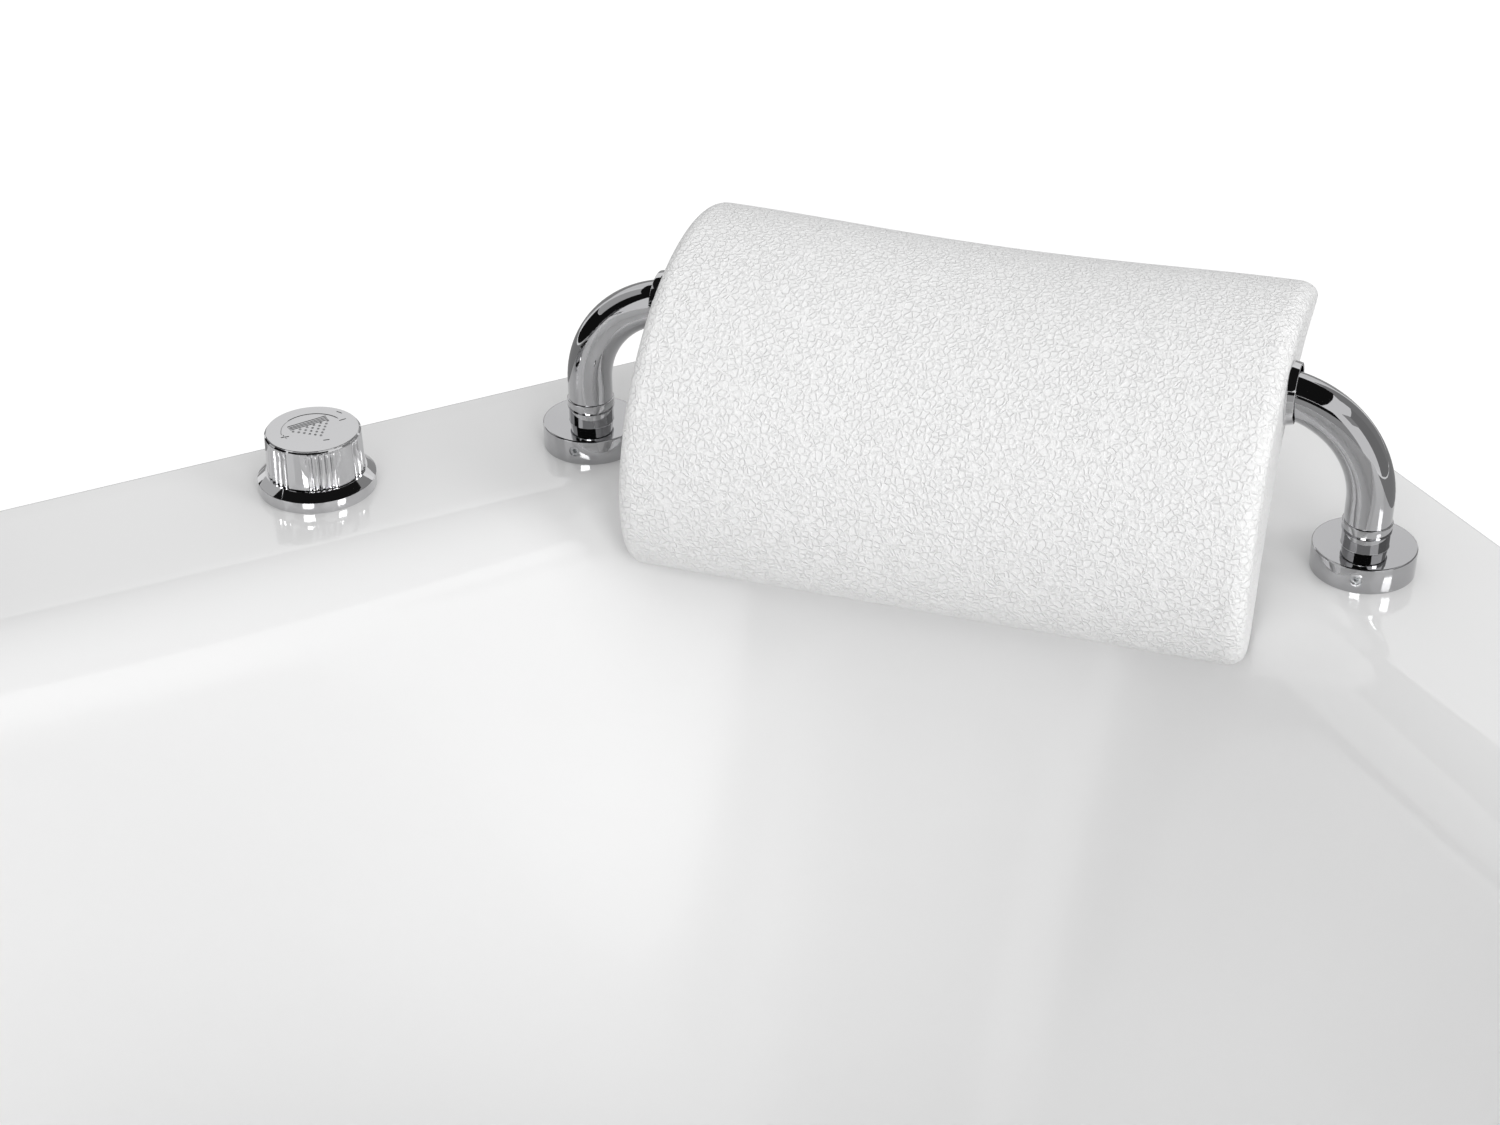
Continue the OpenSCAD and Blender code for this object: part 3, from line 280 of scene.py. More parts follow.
# ---------------------------------------------------------------- finishes
class Finish:
    """A material on Object coordinates, built node by node."""

    def __init__(self, name, colour, rough, metal=0.0, ior=1.5, spec=0.5,
                 coat=0.0, coat_rough=0.03):
        self.mat = bpy.data.materials.new(name)
        self.mat.use_nodes = True
        self.tree = self.mat.node_tree
        self.shader = self.tree.nodes["Principled BSDF"]
        self.values(self.shader, {
            "Base Color": (*colour, 1), "Roughness": rough, "Metallic": metal, "IOR": ior,
            "Specular IOR Level": spec, "Coat Weight": coat, "Coat Roughness": coat_rough})
        self.colour = colour
        self.place = self.tree.nodes.new("ShaderNodeTexCoord").outputs["Object"]
        self.bumped = None

    def values(self, node, values):
        """Sets a node's inputs by name."""
        for key, value in values.items():
            node.inputs[key].default_value = value

    def node(self, kind, values=None, **links):
        """New node with those values, and those inputs linked."""
        n = self.tree.nodes.new(kind)
        self.values(n, values or {})
        for key, socket in links.items():
            self.tree.links.new(socket, n.inputs[key.replace("_", " ")])
        return n

    def noise(self, scale, detail=3.0, rough=0.5, distort=0.0, place=None):
        """Noise with that many waves to the metre."""
        return self.node("ShaderNodeTexNoise", {
            "Scale": scale, "Detail": detail, "Roughness": rough, "Distortion": distort},
            Vector=place or self.place).outputs["Fac"]

    def stretch(self, scale):
        """Object coordinates times scale: the larger, the finer that way."""
        return self.node("ShaderNodeMapping", {"Scale": scale},
                         Vector=self.place).outputs["Vector"]

    def ramp(self, fac, stops):
        """Grey levels or colours at the given places of fac."""
        n = self.node("ShaderNodeValToRGB", Fac=fac)
        ends = n.color_ramp.elements
        for k, (at, value) in enumerate(stops):
            e = ends[k] if k < 2 else ends.new(at)
            e.position = at
            e.color = (*(value if np.ndim(value) else (value,) * 3), 1)
        return n.outputs["Color"]

    def between(self, fac, low, high, start=0.0, stop=1.0):
        """Value that runs from low to high while fac runs from start to stop."""
        return self.node("ShaderNodeMapRange", {
            "From Min": start, "From Max": stop, "To Min": low, "To Max": high},
            Value=fac).outputs["Result"]

    def total(self, a, b):
        """Sum of two values."""
        n = self.tree.nodes.new("ShaderNodeMath")
        n.operation = "ADD"
        for socket, value in zip(n.inputs, (a, b)):
            self.tree.links.new(value, socket)
        return n.outputs[0]

    def tint(self, fac, low, high):
        """Colour between low and high shares of the base colour."""
        stops = [(0.3, tuple(low * c for c in self.colour)),
                 (0.7, tuple(min(high * c, 1) for c in self.colour))]
        self.tree.links.new(self.ramp(fac, stops), self.shader.inputs["Base Color"])
        return self

    def gloss(self, fac, low, high):
        """Roughness between low and high."""
        self.tree.links.new(self.between(fac, low, high), self.shader.inputs["Roughness"])
        return self

    def bump(self, height, depth):
        """Relief of that depth in metres, on top of any earlier relief."""
        n = self.node("ShaderNodeBump", {"Strength": 1.0, "Distance": depth}, Height=height)
        if self.bumped:
            self.tree.links.new(self.bumped, n.inputs["Normal"])
        self.bumped = n.outputs["Normal"]
        self.tree.links.new(self.bumped, self.shader.inputs["Normal"])
        return self


DRAWN_LOW, DRAWN_HIGH = 0.51, 0.585     # heights between which the sheet turns dull


def acrylic(name="acrylic", stretched=0.0):
    """Glossy sheet. It is less glossy, by stretched, below the ledge, where it
    was drawn out as it was formed."""
    f = Finish(name, (0.86, 0.86, 0.86), 0.06, ior=1.49, coat=0.25, coat_rough=0.02)
    f.tint(f.noise(2.3, 2.0), 0.985, 1.01)
    height = f.node("ShaderNodeSeparateXYZ", Vector=f.place).outputs["Z"]
    dull = f.between(height, stretched, 0.0, DRAWN_LOW, DRAWN_HIGH)
    even = f.between(f.noise(38.0, 4.0), 0.045, 0.085)
    f.tree.links.new(f.total(even, dull), f.shader.inputs["Roughness"])
    return f.bump(f.noise(9.0, 1.0), 0.0006).bump(f.noise(160.0, 2.0), 0.00001)


def glass_fibre():
    """Resin and chopped strands, sprayed on the underside."""
    f = Finish("glass_fibre", (0.70, 0.69, 0.64), 0.55)
    strands = f.noise(90.0, 6.0, 0.7, 1.6)
    return f.tint(strands, 0.86, 1.08).bump(strands, 0.0012)


def chrome(name, colour, dullest, low, high):
    """Bright chrome plate with a very fine grain and slight changes of gloss."""
    f = Finish(name, colour, 0.03, metal=1.0)
    f.gloss(f.noise(55.0, 4.0), 0.015, dullest)
    return f.tint(f.noise(12.0), low, high).bump(f.noise(420.0, 2.0), 0.000004)


def sunk_chrome():
    """Bottom of the engraved signs, left matt."""
    f = Finish("sunk_chrome", (0.48, 0.48, 0.49), 0.4, metal=1.0)
    return f.tint(f.noise(90.0), 0.9, 1.1)


def pillow_skin():
    """Cast foam skin: a net of low ridges round cells about 4 mm wide. The ridges are painted a little lighter: a
    painted highlight.
    """
    f = Finish("pillow_skin", (0.94, 0.94, 0.94), 0.5, ior=1.45, spec=0.4)
    warp = f.node("ShaderNodeTexNoise", {"Scale": 240.0, "Detail": 2.0}, Vector=f.place)
    shift = f.node("ShaderNodeMixRGB", {"Fac": 0.0040},
                   Color1=f.place, Color2=warp.outputs["Color"])
    shift.blend_type = "ADD"
    cells = f.node("ShaderNodeTexVoronoi", {"Scale": 280.0}, Vector=shift.outputs["Color"])
    cells.feature = "DISTANCE_TO_EDGE"
    ridge_and_highlight = f.ramp(cells.outputs["Distance"], [(0.0, 1.0), (0.08, 0.65), (0.21, 0.0)])
    fine = f.noise(620.0, 3.0, 0.6, 0.8)
    # ridges painted a little lighter than the cells: painted highlight
    f.tint(ridge_and_highlight, 0.99, 1.02)
    f.gloss(fine, 0.42, 0.58)
    return f.bump(ridge_and_highlight, 0.0005).bump(fine, 0.00007).bump(f.noise(14.0, 1.0), 0.0006)


def painted_steel():
    f = Finish("painted_steel", (0.47, 0.48, 0.49), 0.42)
    f.tint(f.noise(30.0, 5.0), 0.90, 1.07).gloss(f.noise(60.0), 0.34, 0.5)
    return f.bump(f.noise(700.0), 0.00005)


def zinc():
    """Zinc plate with a faint spangle."""
    f = Finish("zinc", (0.60, 0.61, 0.62), 0.34, metal=1.0)
    spangle = f.node("ShaderNodeTexVoronoi", {"Scale": 240.0}, Vector=f.place).outputs["Color"]
    return f.tint(spangle, 0.88, 1.06).gloss(f.noise(80.0), 0.26, 0.44)


def rubber():
    f = Finish("rubber", (0.035, 0.035, 0.036), 0.7, spec=0.35)
    return f.tint(f.noise(40.0), 0.8, 1.3).bump(f.noise(500.0), 0.00008)


def drain_plastic():
    f = Finish("drain_plastic", (0.74, 0.74, 0.72), 0.38)
    return f.tint(f.noise(18.0), 0.96, 1.02).bump(f.noise(350.0, 4.0), 0.00004)


def rose_plastic():
    f = Finish("rose_plastic", (0.10, 0.10, 0.105), 0.45)
    return f.tint(f.noise(60.0), 0.9, 1.1).bump(f.noise(800.0), 0.00003)


def valve_brass():
    """Turned brass, with fine rings round Z."""
    f = Finish("valve_brass", (0.62, 0.43, 0.17), 0.24, metal=1.0)
    turned = f.noise(40.0, 4.0, 0.6, place=f.stretch((1, 1, 14)))
    return f.tint(f.noise(25.0, 5.0), 0.82, 1.06).gloss(turned, 0.16, 0.36).bump(turned, 0.00002)


def copper():
    """Copper that is dull where it is stained dark."""
    f = Finish("copper", (0.66, 0.33, 0.20), 0.27, metal=1.0)
    stain = f.noise(22.0, 6.0, 0.62, 0.6)
    return f.tint(stain, 0.62, 1.05).gloss(stain, 0.45, 0.18)


def board_wood():
    """Plywood: long grain along X, veneer layers across the thickness."""
    f = Finish("board_wood", (0.56, 0.40, 0.23), 0.6)
    grain = f.noise(9.0, 8.0, 0.62, 1.2, place=f.stretch((1.5, 22, 60)))
    return f.tint(grain, 0.72, 1.12).bump(grain, 0.0003)


FINISHES = {
    "acrylic": acrylic(), "board_wood": board_wood(), "frame_steel": painted_steel(),
    "zinc_steel": zinc(), "rubber": rubber(),
    "chrome": chrome("chrome", (0.63, 0.63, 0.64), 0.045, 0.97, 1.02),
    "drain_plastic": drain_plastic(), "rose_plastic": rose_plastic(),
    "valve_brass": valve_brass(), "copper": copper(), "pillow_skin": pillow_skin()}
BACKING, SUNK = glass_fibre(), sunk_chrome()
# the rail and rosettes take a darker copy of the chrome: painted shade that stands in for the darker surroundings
# they reflect
SHADED_CHROME = chrome("shaded_tube_chrome", (0.50, 0.50, 0.51), 0.05, 0.96, 1.03)

for part in frame["record"]["subparts"]:
    solid = nodes[part["node"]].data
    solid.materials.clear()
    solid.materials.append(FINISHES[part["material_slot"]].mat)


def fit_out(piece, body, slot, *stands_for):
    """Gives a new piece its finish, its body and the solids it stands for."""
    piece.data.materials.clear()
    piece.data.materials.append(FINISHES[slot].mat)
    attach(piece, body)
    if stands_for:
        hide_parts(*stands_for)
    return piece


def second_finish(piece, finish, chosen):
    """Gives the chosen faces of a piece a second finish."""
    piece.data.materials.append(finish.mat)
    piece.data.polygons.foreach_set("material_index", chosen.astype(np.int32))


# ---------------------------------------------------------------- bath shell
def shell_directions(count):
    """Directions round the waste, closer together at the three sharp corners:
    equal steps of the integral of 1 + 9 exp(-(distance to a corner / 0.05)^2)."""
    fine = np.linspace(0, 2 * np.pi, 40001)
    wing = np.arctan2(CORNER_TO_WASTE - HALF_WIDTH, HALF_WIDTH)
    density = 1 + sum(9 * np.exp(-((np.angle(np.exp(1j * (fine - c))) / 0.05) ** 2))
                      for c in (wing, 0.5 * np.pi, np.pi - wing))
    total = np.concatenate([[0], np.cumsum(0.5 * (density[1:] + density[:-1]))])
    return np.interp(np.linspace(0, total[-1], count, endpoint=False), total, fine)


def shell_face(a, inset):
    """Half of the shell's section in each direction a, moved down into the
    material by inset: lip, edge fillet, ledge, top arc, straight slope, floor arc
    and floor. The slope touches both arcs: it is tipped by
    asin(both radii / length) + atan(drop / run) of the line between their centres."""
    ro, ri, rf = (f(a)[:, None] for f in (outer_reach, basin_reach, floor_reach))
    run, drop = ri - rf, BASIN_DEPTH - TOP_FILLET - FLOOR_FILLET
    slope = np.arcsin((TOP_FILLET + FLOOR_FILLET) / np.hypot(run, drop)) + np.arctan2(drop, run)
    edge = INNER_EDGE if inset else EDGE_FILLET
    top, foot = TOP_FILLET - inset, FLOOR_FILLET + inset
    one = np.ones_like(ro)

    def arc(r0, z0, radius, angle, sign):
        return r0 + sign * radius * np.sin(angle), z0 + radius * np.cos(angle) * one

    q = np.radians(np.linspace(90, 0, 7))[None, :]
    lip = (ro - inset, -LIP_H * one)
    corner = arc(ro - inset - edge, -inset - edge, edge, q, 1)
    t = np.linspace(0, 1, 8)[None, 1:-1]
    flat = (ro - inset - edge + (ri - ro + inset + edge) * t, -inset * one * np.ones_like(t))
    s = np.linspace(0, 1, 15)[None, :]
    over = arc(ri, -TOP_FILLET, top, slope * s, -1)
    under = (rf + foot * np.sin(slope * s[:, ::-1]),
             -BASIN_DEPTH + FLOOR_FILLET - foot * np.cos(slope * s[:, ::-1]))
    g = np.linspace(0, 1, 10)[None, 1:-1]
    wall = [high[:, -1:] + (low[:, :1] - high[:, -1:]) * g for high, low in zip(over, under)]
    f = np.linspace(0, 1, 9)[None, 1:]
    base = (rf + (WASTE_HOLE_R - rf) * f, (-BASIN_DEPTH - inset) * one * np.ones_like(f))
    return [np.concatenate(way, 1) for way in zip(lip, corner, flat, over, wall, under, base)]


def bath_shell():
    """Top face out and underside back, closed at the lip and round the waste."""
    a = shell_directions(460)
    r1, z1 = shell_face(a, 0.0)
    r2, z2 = shell_face(a, SHELL_T)
    r = np.concatenate([r1, r2[:, ::-1]], 1)
    z = np.concatenate([z1, z2[:, ::-1]], 1) + LEDGE_Z
    grid = np.stack([r * np.cos(a)[:, None], r * np.sin(a)[:, None] + WASTE_Y, z], -1)
    return build("bath_shell", [grid], 50, (True, True))


shell = bath_shell()
overflow_joint = next(j for j in frame["joints"] if j["name"] == "overflow_turn")
over_z = Vector(overflow_joint["axis"]).normalized()
over_y = over_z.cross(Vector((1, 0, 0)))
over_at = Vector(overflow_joint["pos_m"])
holes = [on_ledge(rod(SHANK_HOLE_R, -0.03, 0.03, 48), u)
         for u in (DIVERTER_U, MIXER_U, SPOUT_U, SHOWER_U)]
holes += [at_post(rod(STUD_HOLE_R, -0.03, 0.03, 32), side) for side in (-1, 1)]
holes.append(put(rod(OVERFLOW_HOLE_R, -0.02, 0.02, 96), over_at, (1, 0, 0), over_y, over_z))
cut(shell, build("drills", holes), 50)
fit_out(shell, "bath", "acrylic", "tub_shell")
shell.data.materials[0] = acrylic("shell_acrylic", stretched=0.18).mat
# faces that look down are the underside
second_finish(shell, BACKING, face_vectors(shell, "normal")[:, 2] < -0.02)

# ---------------------------------------------------------------- headrest
FOOT_Z = 0.024          # top of the rosette's stub
FOOT_RING_H = 0.006
GRUB_R = 0.00305        # hole for the grub screw
GRUB_Z = 0.008          # its height
GRUB_IN = 0.009         # its bottom in front of the post's axis


def rail_path():
    """Up one leg, round a quarter bend, across, round the other, and down."""
    leg = np.linspace(FOOT_Z + FOOT_RING_H, RAIL_H - BEND_R, 6)[:-1]
    left = np.stack([0 * leg - POST_X, 0 * leg, leg], -1)
    up = bend((-POST_X + BEND_R, 0, RAIL_H - BEND_R), BEND_R,
              (-1, 0, 0), (0, 0, 1), np.pi / 2)
    across = np.linspace(-POST_X + BEND_R, POST_X - BEND_R, 18)[1:-1]
    mid = np.stack([across, 0 * across, 0 * across + RAIL_H], -1)
    half = np.concatenate([left, up])
    return np.concatenate([half, mid, half[::-1] * [-1, 1, 1]])


foot_ring = spin(rounded(
    [[0, 0.0242], [0.0137, 0.0242], [0.0137, 0.0300], [0.0131, 0.0302], [0, 0.0302]],
    [0, 0.0004, 0.0006, 0.0002, 0]))
spigot = rod(0.010, 0.0046, 0.0245)
rail_grids = [put(tube(rail_path(), RAIL_R, (0, 1, 0)), (0, RAIL_Y, LEDGE_Z))]
rail_grids += [at_post(points, side) for side in (-1, 1) for points in (foot_ring, spigot)]
rail = fit_out(build("chrome_rail", rail_grids), "bath", "chrome", "headrest_rail")
# darker copy of the chrome: painted shade on the rail
rail.data.materials[0] = SHADED_CHROME.mat

rosette = spin(rounded(
    [[0.0042, 0.0], [0.0285, 0.0], [0.0285, 0.0150], [0.0130, 0.0150], [0.0130, 0.0238],
     [0.0102, 0.0238], [0.0102, 0.0024], [0.0042, 0.0024], [0.0042, 0.0]],
    [0, 0.0002, 0.0009, 0.0003, 0.0003, 0.0003, 0.0001, 0.0001, 0]), 256)
for side, name in ((-1, "left_rosette"), (1, "right_rosette")):
    disc = build(name + "_disc", [at_post(rosette, side)])
    bore = put(rod(GRUB_R, 0, 0.03, 48), (side * POST_X, RAIL_Y - GRUB_IN, LEDGE_Z + GRUB_Z),
               (1, 0, 0), (0, 0, 1), (0, -1, 0))
    cut(disc, build("bore", [bore]))
    fit_out(disc, "bath", "chrome", name)
    # darker copy of the chrome: painted shade on the rosette
    disc.data.materials[0] = SHADED_CHROME.mat

PILLOW_LEN, ARC_R, HALF_T, TAPER, SLIM = 0.352, 0.129, 0.030, 0.35, 0.25
LOW, HIGH, RAIL_AT = np.radians([-9, 104, 60])
END_R, SADDLE = 0.010, 0.011
SLEEVE_R = 0.01565
BORE_GAP = 0.0002       # pillow's bore round the sleeve


def pillow_surface(rows=150, around=220):
    """Section: half thickness HALF_T (1 - TAPER cos q) either side of an arc of
    radius ARC_R, closed by the cosine of q along it, dipped along the top by the
    squared cosine of the place, and thinner by up to SLIM on the arc's inner side
    towards its low end. Ends: the section drawn in on a quarter circle."""
    half_len = PILLOW_LEN / 2
    q = np.linspace(0, 2 * np.pi, around, endpoint=False)[None, :]
    e = np.linspace(0, np.pi / 2, 12)
    inner = np.linspace(-1, 1, rows)[1:-1] * (half_len - END_R)
    left = -half_len + END_R * (1 - np.cos(e))
    drawn = END_R * (1 - np.sin(e))
    close = np.linspace(0, 1, 14)[:-1]
    x = np.concatenate([0 * close - half_len, left, inner, -left[::-1], 0 * close + half_len])
    draw = np.concatenate([0 * close + END_R, drawn, 0 * inner, drawn[::-1], 0 * close + END_R])
    shrink = np.concatenate([close, 0 * e + 1, 0 * inner + 1, 0 * e + 1, close[::-1]])
    x, draw, shrink = x[:, None], draw[:, None], shrink[:, None]
    along, out = np.cos(q) * shrink, np.sin(q) * shrink
    dip = SADDLE * np.cos(np.pi * x / PILLOW_LEN) ** 2
    slim = np.where(out < 0, 1 - SLIM * (1 - along) / 2, 1)
    half = HALF_T * (1 - TAPER * along) * slim - draw
    sag = dip * np.clip(out, 0, None) * (1 + along) / 2
    a = 0.5 * (LOW + HIGH) + (0.5 * (HIGH - LOW) - draw / ARC_R) * along
    r = ARC_R + half * out - sag
    cy, cz = -ARC_R * np.cos(RAIL_AT), RAIL_H - ARC_R * np.sin(RAIL_AT)
    y, z = cy + r * np.cos(a), cz + r * np.sin(a)
    return np.stack([x + 0 * y, RAIL_Y - y, LEDGE_Z + z], -1)


pillow = build("pillow", [pillow_surface()], 60)
through = on_rail(rod(SLEEVE_R + BORE_GAP, -0.3, 0.3, 96), 0)
cut(pillow, build("bore", [through]), 60)
fit_out(pillow, "pillow", "pillow_skin", "headrest_pillow")

end_ring = spin(rounded(
    [[SLEEVE_R, 0], [0.0175, 0], [0.0175, 0.0012], [0.0167, 0.005], [SLEEVE_R, 0.005],
     [SLEEVE_R, 0]], [0, 0.0001, 0.0003, 0.0004, 0.0003, 0]))
collars = [on_rail(end_ring, side * PILLOW_LEN / 2, side) for side in (-1, 1)]
fit_out(build("pillow_end_rings", collars), "pillow", "chrome", "pillow_collars")

# ---------------------------------------------------------------- taps
FLANGE_H, KNOB_LOW, KNOB_TOP = 0.0110, 0.0113, 0.0361
CAP_R = 0.0262          # flat top of the knob
FLUTE_DEPTH = 0.0011
SIGN_DEPTH = 0.0002
SIGN_REACH = 0.0255     # no sign beyond this radius
SIGN_TILT = np.radians(-25.7)


def flute(a):
    """Depth share of the flutes: five hollows, each half a sine wave 7 degrees
    wide, in 35 of every 60 degrees."""
    g = (np.degrees(a) - 3) % 60
    return np.where(g < 35, np.abs(np.sin(np.pi * g / 7)), 0)


def knob_side(count=1080):
    """Slightly tapered skirt, cut by flutes that run out under a bevel, with a
    low upright rim round the top. Rows are radius, height and share of the flutes."""
    a = np.linspace(0, 2 * np.pi, count, endpoint=False)[None, :]
    low, top = KNOB_LOW, KNOB_TOP
    rows = np.array([
        [0.0060, low, 0], [0.0268, low, 0], [0.0279, low + 0.0002, 0.9], [0.0280, low + 0.0010, 1],
        [0.0279, low + 0.0050, 1], [0.0277, low + 0.0120, 1], [0.0275, top - 0.0066, 1],
        [0.0274, top - 0.0036, 1], [0.0274, top - 0.0026, 0.8], [0.0274, top - 0.0020, 0.35],
        [0.0274, top - 0.0016, 0], [0.0273, top - 0.0014, 0], [0.0266, top - 0.0008, 0],
        [0.0265, top - 0.0006, 0], [0.0265, top - 0.0004, 0], [0.0264, top - 0.0002, 0],
        [0.0263, top - 0.00005, 0], [CAP_R, top, 0]])
    r, z, w = rows.T[:, :, None]
    r = r - FLUTE_DEPTH * w * flute(a)
    return np.stack([r * np.cos(a), r * np.sin(a), z + 0 * a], -1)


def line_mark(x, y, x0, y0, x1, y1, width):
    """One inside a bar of that width from point 0 to point 1, with a soft edge."""
    dx, dy = x1 - x0, y1 - y0
    t = np.clip(((x - x0) * dx + (y - y0) * dy) / (dx * dx + dy * dy), 0, 1)
    return np.clip(1.5 - np.hypot(x - x0 - t * dx, y - y0 - t * dy) / (0.5 * width), 0, 1)


def arc_mark(x, y, radius, start, stop, width):
    """One inside an arc of that radius between two angles in degrees."""
    middle = np.radians(0.5 * (start + stop))
    off = np.degrees(np.angle(np.exp(1j * (np.arctan2(y, x) - middle))))
    ends = np.clip(0.5 * (stop - start) + 1 - np.abs(off), 0, 1)
    return ends * np.clip(1.5 - np.abs(np.hypot(x, y) - radius) / (0.5 * width), 0, 1)


def drop_mark(x, y, cx, cy):
    """One on a small ring round cx, cy."""
    return np.clip(1.5 - np.abs(np.hypot(x - cx, y - cy) - 0.60) / 0.18, 0, 1)


def knob_marks(x, y, drops):
    """Signs on a knob, in millimetres: an arc between a plus and a minus, and on
    the diverter a slanted shower plate over a triangle of drops."""
    arcs = [(17.8, 43, 201, 0.5), (23.2, 51, 60, 0.4)]
    bars = [(-16.4, -9.6, -12.4, -8.4, 0.5), (-15.6, -7.2, -13.2, -10.8, 0.5),
            (14.3, 9.4, 17.5, 11.5, 0.5), (8.0, -13.2, 10.9, -12.4, 0.5)]
    dots = []
    if drops:
        plate = [(-14.4, 2.6), (5.5, 15.0), (7.6, 10.9), (-12.1, -1.1)]
        bars += [(*p, *q, 0.45) for p, q in zip(plate, plate[1:] + plate[:1])]
        bars += [(-13.6, 1.2, 6.3, 13.6, 0.4), (-12.9, 0.1, 7.0, 12.3, 0.4)]
        dots = [(7.6 - 3.63 * k - 0.36 * row, 9.4 - 2.45 * k - 3.4 * row)
                for row in range(6) for k in range(6 - row)]
    return np.max([mark(x, y, *sizes)
                   for mark, all_sizes in ((arc_mark, arcs), (line_mark, bars), (drop_mark, dots))
                   for sizes in all_sizes], axis=0)


def sign_depth(x, y, drops):
    """Share of the signs' depth at x, y in metres. The signs stand upright for
    someone in the bath."""
    cos, sin = np.cos(SIGN_TILT), np.sin(SIGN_TILT)
    across, up = x * cos + y * sin, -x * sin + y * cos
    return knob_marks(-1000 * across, -1000 * up, drops) * (np.hypot(x, y) < SIGN_REACH)


def knob_cap(drops, count=560, rings=170):
    """Flat top, sunk by SIGN_DEPTH where a sign is."""
    a = np.linspace(0, 2 * np.pi, count, endpoint=False)[None, :]
    r = np.linspace(CAP_R, 0, rings)[:, None]
    x, y = r * np.cos(a), r * np.sin(a)
    return np.stack([x, y, KNOB_TOP - SIGN_DEPTH * sign_depth(x, y, drops)], -1)


flange_face = spin(rounded(
    [[0.0122, 0], [0.0339, 0], [0.0339, 0.0068], [0.0290, FLANGE_H], [0.0122, FLANGE_H],
     [0.0122, 0]], [0, 0.0002, 0.0003, 0.0003, 0.0002, 0]), 256)
for u, tap, drops in ((DIVERTER_U, "diverter", True), (MIXER_U, "mixer", False)):
    flange = build(tap + "_plate", [on_ledge(flange_face, u)], 25)
    fit_out(flange, "bath", "chrome", tap + "_flange")
    knob = build(tap + "_grip", [on_ledge(knob_side(), u)], 45)
    fit_out(knob, tap + "_handle", "chrome", tap + "_knob")
    cap = build(tap + "_face", [on_ledge(knob_cap(drops), u)], 60)
    fit_out(cap, tap + "_handle", "chrome")
    # faces sunk by more than 0.6 of the depth are matt
    flat = (face_vectors(cap, "center") - on_ledge([0, 0, 0], u))[:, :2]
    second_finish(cap, SUNK, sign_depth(flat @ [-S2, -S2], flat @ [S2, -S2], drops) > 0.6)

# ---------------------------------------------------------------- floor and light
AMBIENT, GROUND_GLOW = 0.64, 1.2
GROUND_SEEN, GROUND_GIVEN = 0.9, 0.45   # floor's colour as seen, and for the light it returns
GROUND_PLAIN = 0.72      # share of plain white in the floor
GROUND_HALF = 9.0
LAMP_TARGET, LAMP_SIZE = (-0.1, 0.25, 0.65), (2.2, 2.5)


def lamp(name, at, power):
    """Soft rectangular lamp that shines from at to LAMP_TARGET."""
    data = bpy.data.lights.new(name, "AREA")
    data.shape = "RECTANGLE"
    data.size, data.size_y = LAMP_SIZE
    data.energy = power
    o = bpy.data.objects.new(name, data)
    bpy.context.scene.collection.objects.link(o)
    o.rotation_euler = (Vector(LAMP_TARGET) - Vector(at)).to_track_quat("-Z", "Y").to_euler()
    o.location = at
    o.visible_camera = o.visible_glossy = False


def add_nodes(tree, *kinds):
    """New nodes of those kinds in a tree."""
    return [tree.nodes.new("ShaderNode" + kind) for kind in kinds]


def empty_material(name):
    """Material without nodes."""
    mat = bpy.data.materials.new(name)
    mat.use_nodes = True
    mat.node_tree.nodes.clear()
    return mat


def seen_level(tree, other, seen):
    """Level that is seen in the camera and in reflections, and other elsewhere."""
    path, either, level = add_nodes(tree, "LightPath", "Math", "MapRange")
    either.operation = "MAXIMUM"
    level.inputs["To Min"].default_value = other
    level.inputs["To Max"].default_value = seen
    tree.links.new(path.outputs["Is Camera Ray"], either.inputs[0])
    tree.links.new(path.outputs["Is Glossy Ray"], either.inputs[1])
    tree.links.new(either.outputs[0], level.inputs["Value"])
    return level.outputs["Result"]


def pale_floor():
    """White floor that keeps a soft shadow: part diffuse, part plain white."""
    y, x = np.meshgrid([-GROUND_HALF, GROUND_HALF], [-GROUND_HALF, GROUND_HALF])
    floor = build("floor", [np.stack([x, y, 0 * x], -1)], wrap=(False, False))
    if floor.data.polygons[0].normal.z < 0:
        floor.data.flip_normals()
    mat = empty_material("floor_white")
    tree, link = mat.node_tree, mat.node_tree.links.new
    out, mix, soft, glow = add_nodes(tree, "OutputMaterial", "MixShader", "BsdfDiffuse",
                                     "Emission")
    glow.inputs["Strength"].default_value = GROUND_GLOW
    link(seen_level(tree, GROUND_GIVEN, GROUND_SEEN), soft.inputs["Color"])
    link(seen_level(tree, 0.0, GROUND_PLAIN), mix.inputs[0])
    link(soft.outputs[0], mix.inputs[1])
    link(glow.outputs[0], mix.inputs[2])
    link(mix.outputs[0], out.inputs["Surface"])
    floor.data.materials.append(mat)


def studio_world():
    """White to the camera and in reflections, softer for the light it gives."""
    world = bpy.data.worlds.new("studio")
    bpy.context.scene.world = world
    world.use_nodes = True
    tree = world.node_tree
    back = tree.nodes["Background"]
    back.inputs["Color"].default_value = (1, 1, 1, 1)
    tree.links.new(seen_level(tree, AMBIENT, 1.0), back.inputs["Strength"])


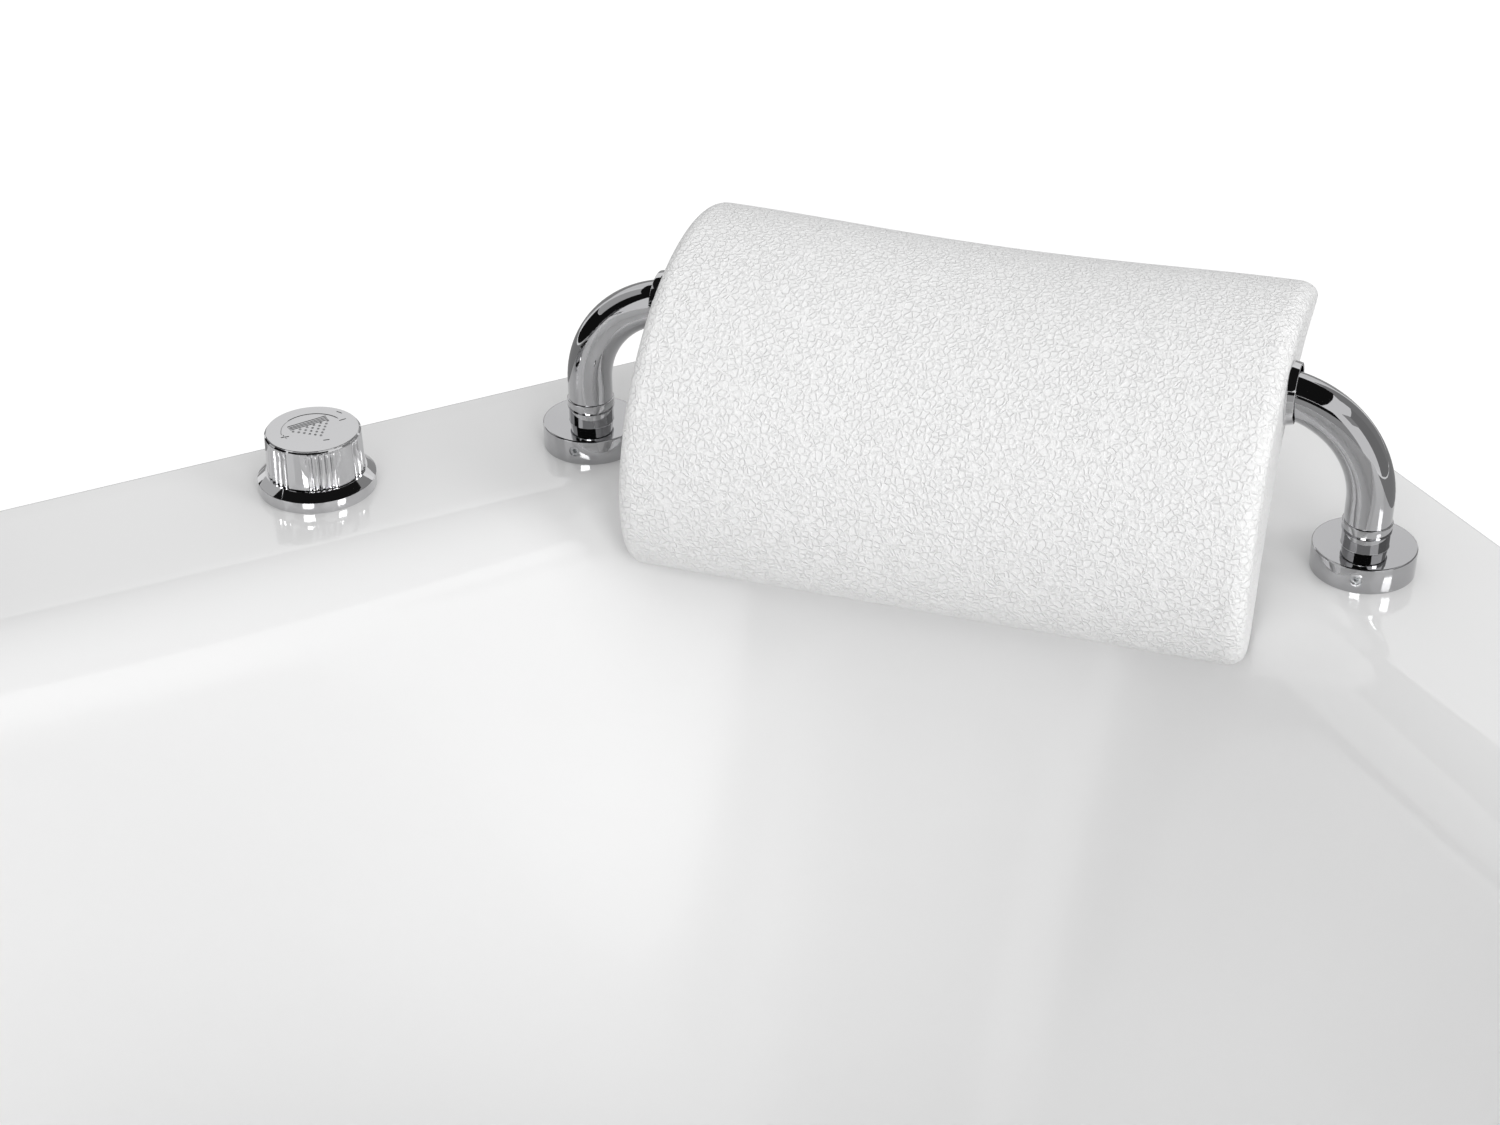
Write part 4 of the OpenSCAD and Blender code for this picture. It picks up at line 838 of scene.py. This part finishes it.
def card(name, centre, size, normal, level, twice=None):
    """Card of an even brightness beside the studio, seen only in reflections. In
    reflections of reflections it has the brightness twice, if that is given."""
    z = Vector(normal).normalized()
    x = Vector((0, 0, 1)).cross(z) if abs(z.z) < 0.9 else Vector((1, 0, 0))
    x.normalize()
    y = z.cross(x)
    u, v = np.meshgrid([-0.5 * size[0], 0.5 * size[0]], [-0.5 * size[1], 0.5 * size[1]])
    sheet = build(name, [put(np.stack([u, v, 0 * u], -1), centre, x, y, z)],
                  wrap=(False, False))
    mat = empty_material(name)
    tree, link = mat.node_tree, mat.node_tree.links.new
    out, glow = add_nodes(tree, "OutputMaterial", "Emission")
    glow.inputs["Strength"].default_value = level
    if twice:
        path, again, strength = add_nodes(tree, "LightPath", "Math", "MapRange")
        again.operation = "GREATER_THAN"
        again.inputs[1].default_value = 1.5
        strength.inputs["To Min"].default_value = level
        strength.inputs["To Max"].default_value = twice
        link(path.outputs["Glossy Depth"], again.inputs[0])
        link(again.outputs[0], strength.inputs["Value"])
        link(strength.outputs["Result"], glow.inputs["Strength"])
    link(glow.outputs[0], out.inputs["Surface"])
    sheet.data.materials.append(mat)
    sheet.visible_camera = sheet.visible_diffuse = sheet.visible_shadow = False


pale_floor()
studio_world()
lamp("right_lamp", (4.8, -0.2, 3.1), 69)
lamp("key_lamp", (3.5, -3.6, 3.1), 73)
lamp("front_lamp", (0.4, -5.1, 2.9), 48)
lamp("back_lamp", (-3.3, 3.2, 3.4), 7)
# grey walls, a black ceiling and two small bright panels give the chrome its contrast
card("ceiling_card", (-0.3, -0.5, 3.0), (4.4, 5.6), (0, 0, -1), 0.01)
card("far_card", (-1.6, 4.6, 3.5), (7.0, 3.2), (0.33, -0.94, 0), 0.92)
card("far_low_card", (-1.6, 4.6, 0.95), (7.0, 1.9), (0.33, -0.94, 0), 0.35)
card("left_card", (-4.2, 0.75, 3.2), (2.7, 3.4), (1, 0.1, 0), 0.56)
card("left_dark_card", (-4.2, -1.95, 3.2), (2.7, 3.4), (1, 0.1, 0), 0.01)
card("left_low_card", (-4.2, -0.6, 0.75), (5.4, 1.5), (1, 0.1, 0), 0.01)
card("right_card", (4.2, 0.8, 1.9), (3.6, 3.8), (-1, -0.1, 0), 0.26)
card("far_right_card", (3.3, 4.0, 2.8), (3.4, 5.6), (-0.7, -0.7, 0), 0.30)
card("near_card", (0.4, -4.2, 1.1), (5.4, 2.2), (0, 1, 0), 0.42)
card("near_top_card", (0.4, -4.19, 2.8), (5.4, 1.2), (0, 1, 0), 0.01)
card("ground_card", (0, 0, 0.004), (7.6, 8.0), (0, 0, 1), 0.30)
card("near_panel", (-0.02, -2.50, 2.1), (1.1, 0.5), (0, 0.88, -0.47), 0.4, 14)
card("right_panel", (2.29, -0.56, 2.1), (0.8, 0.5), (-0.83, 0.29, -0.47), 0.4, 14)

bpy.context.scene.view_settings.view_transform = "Standard"
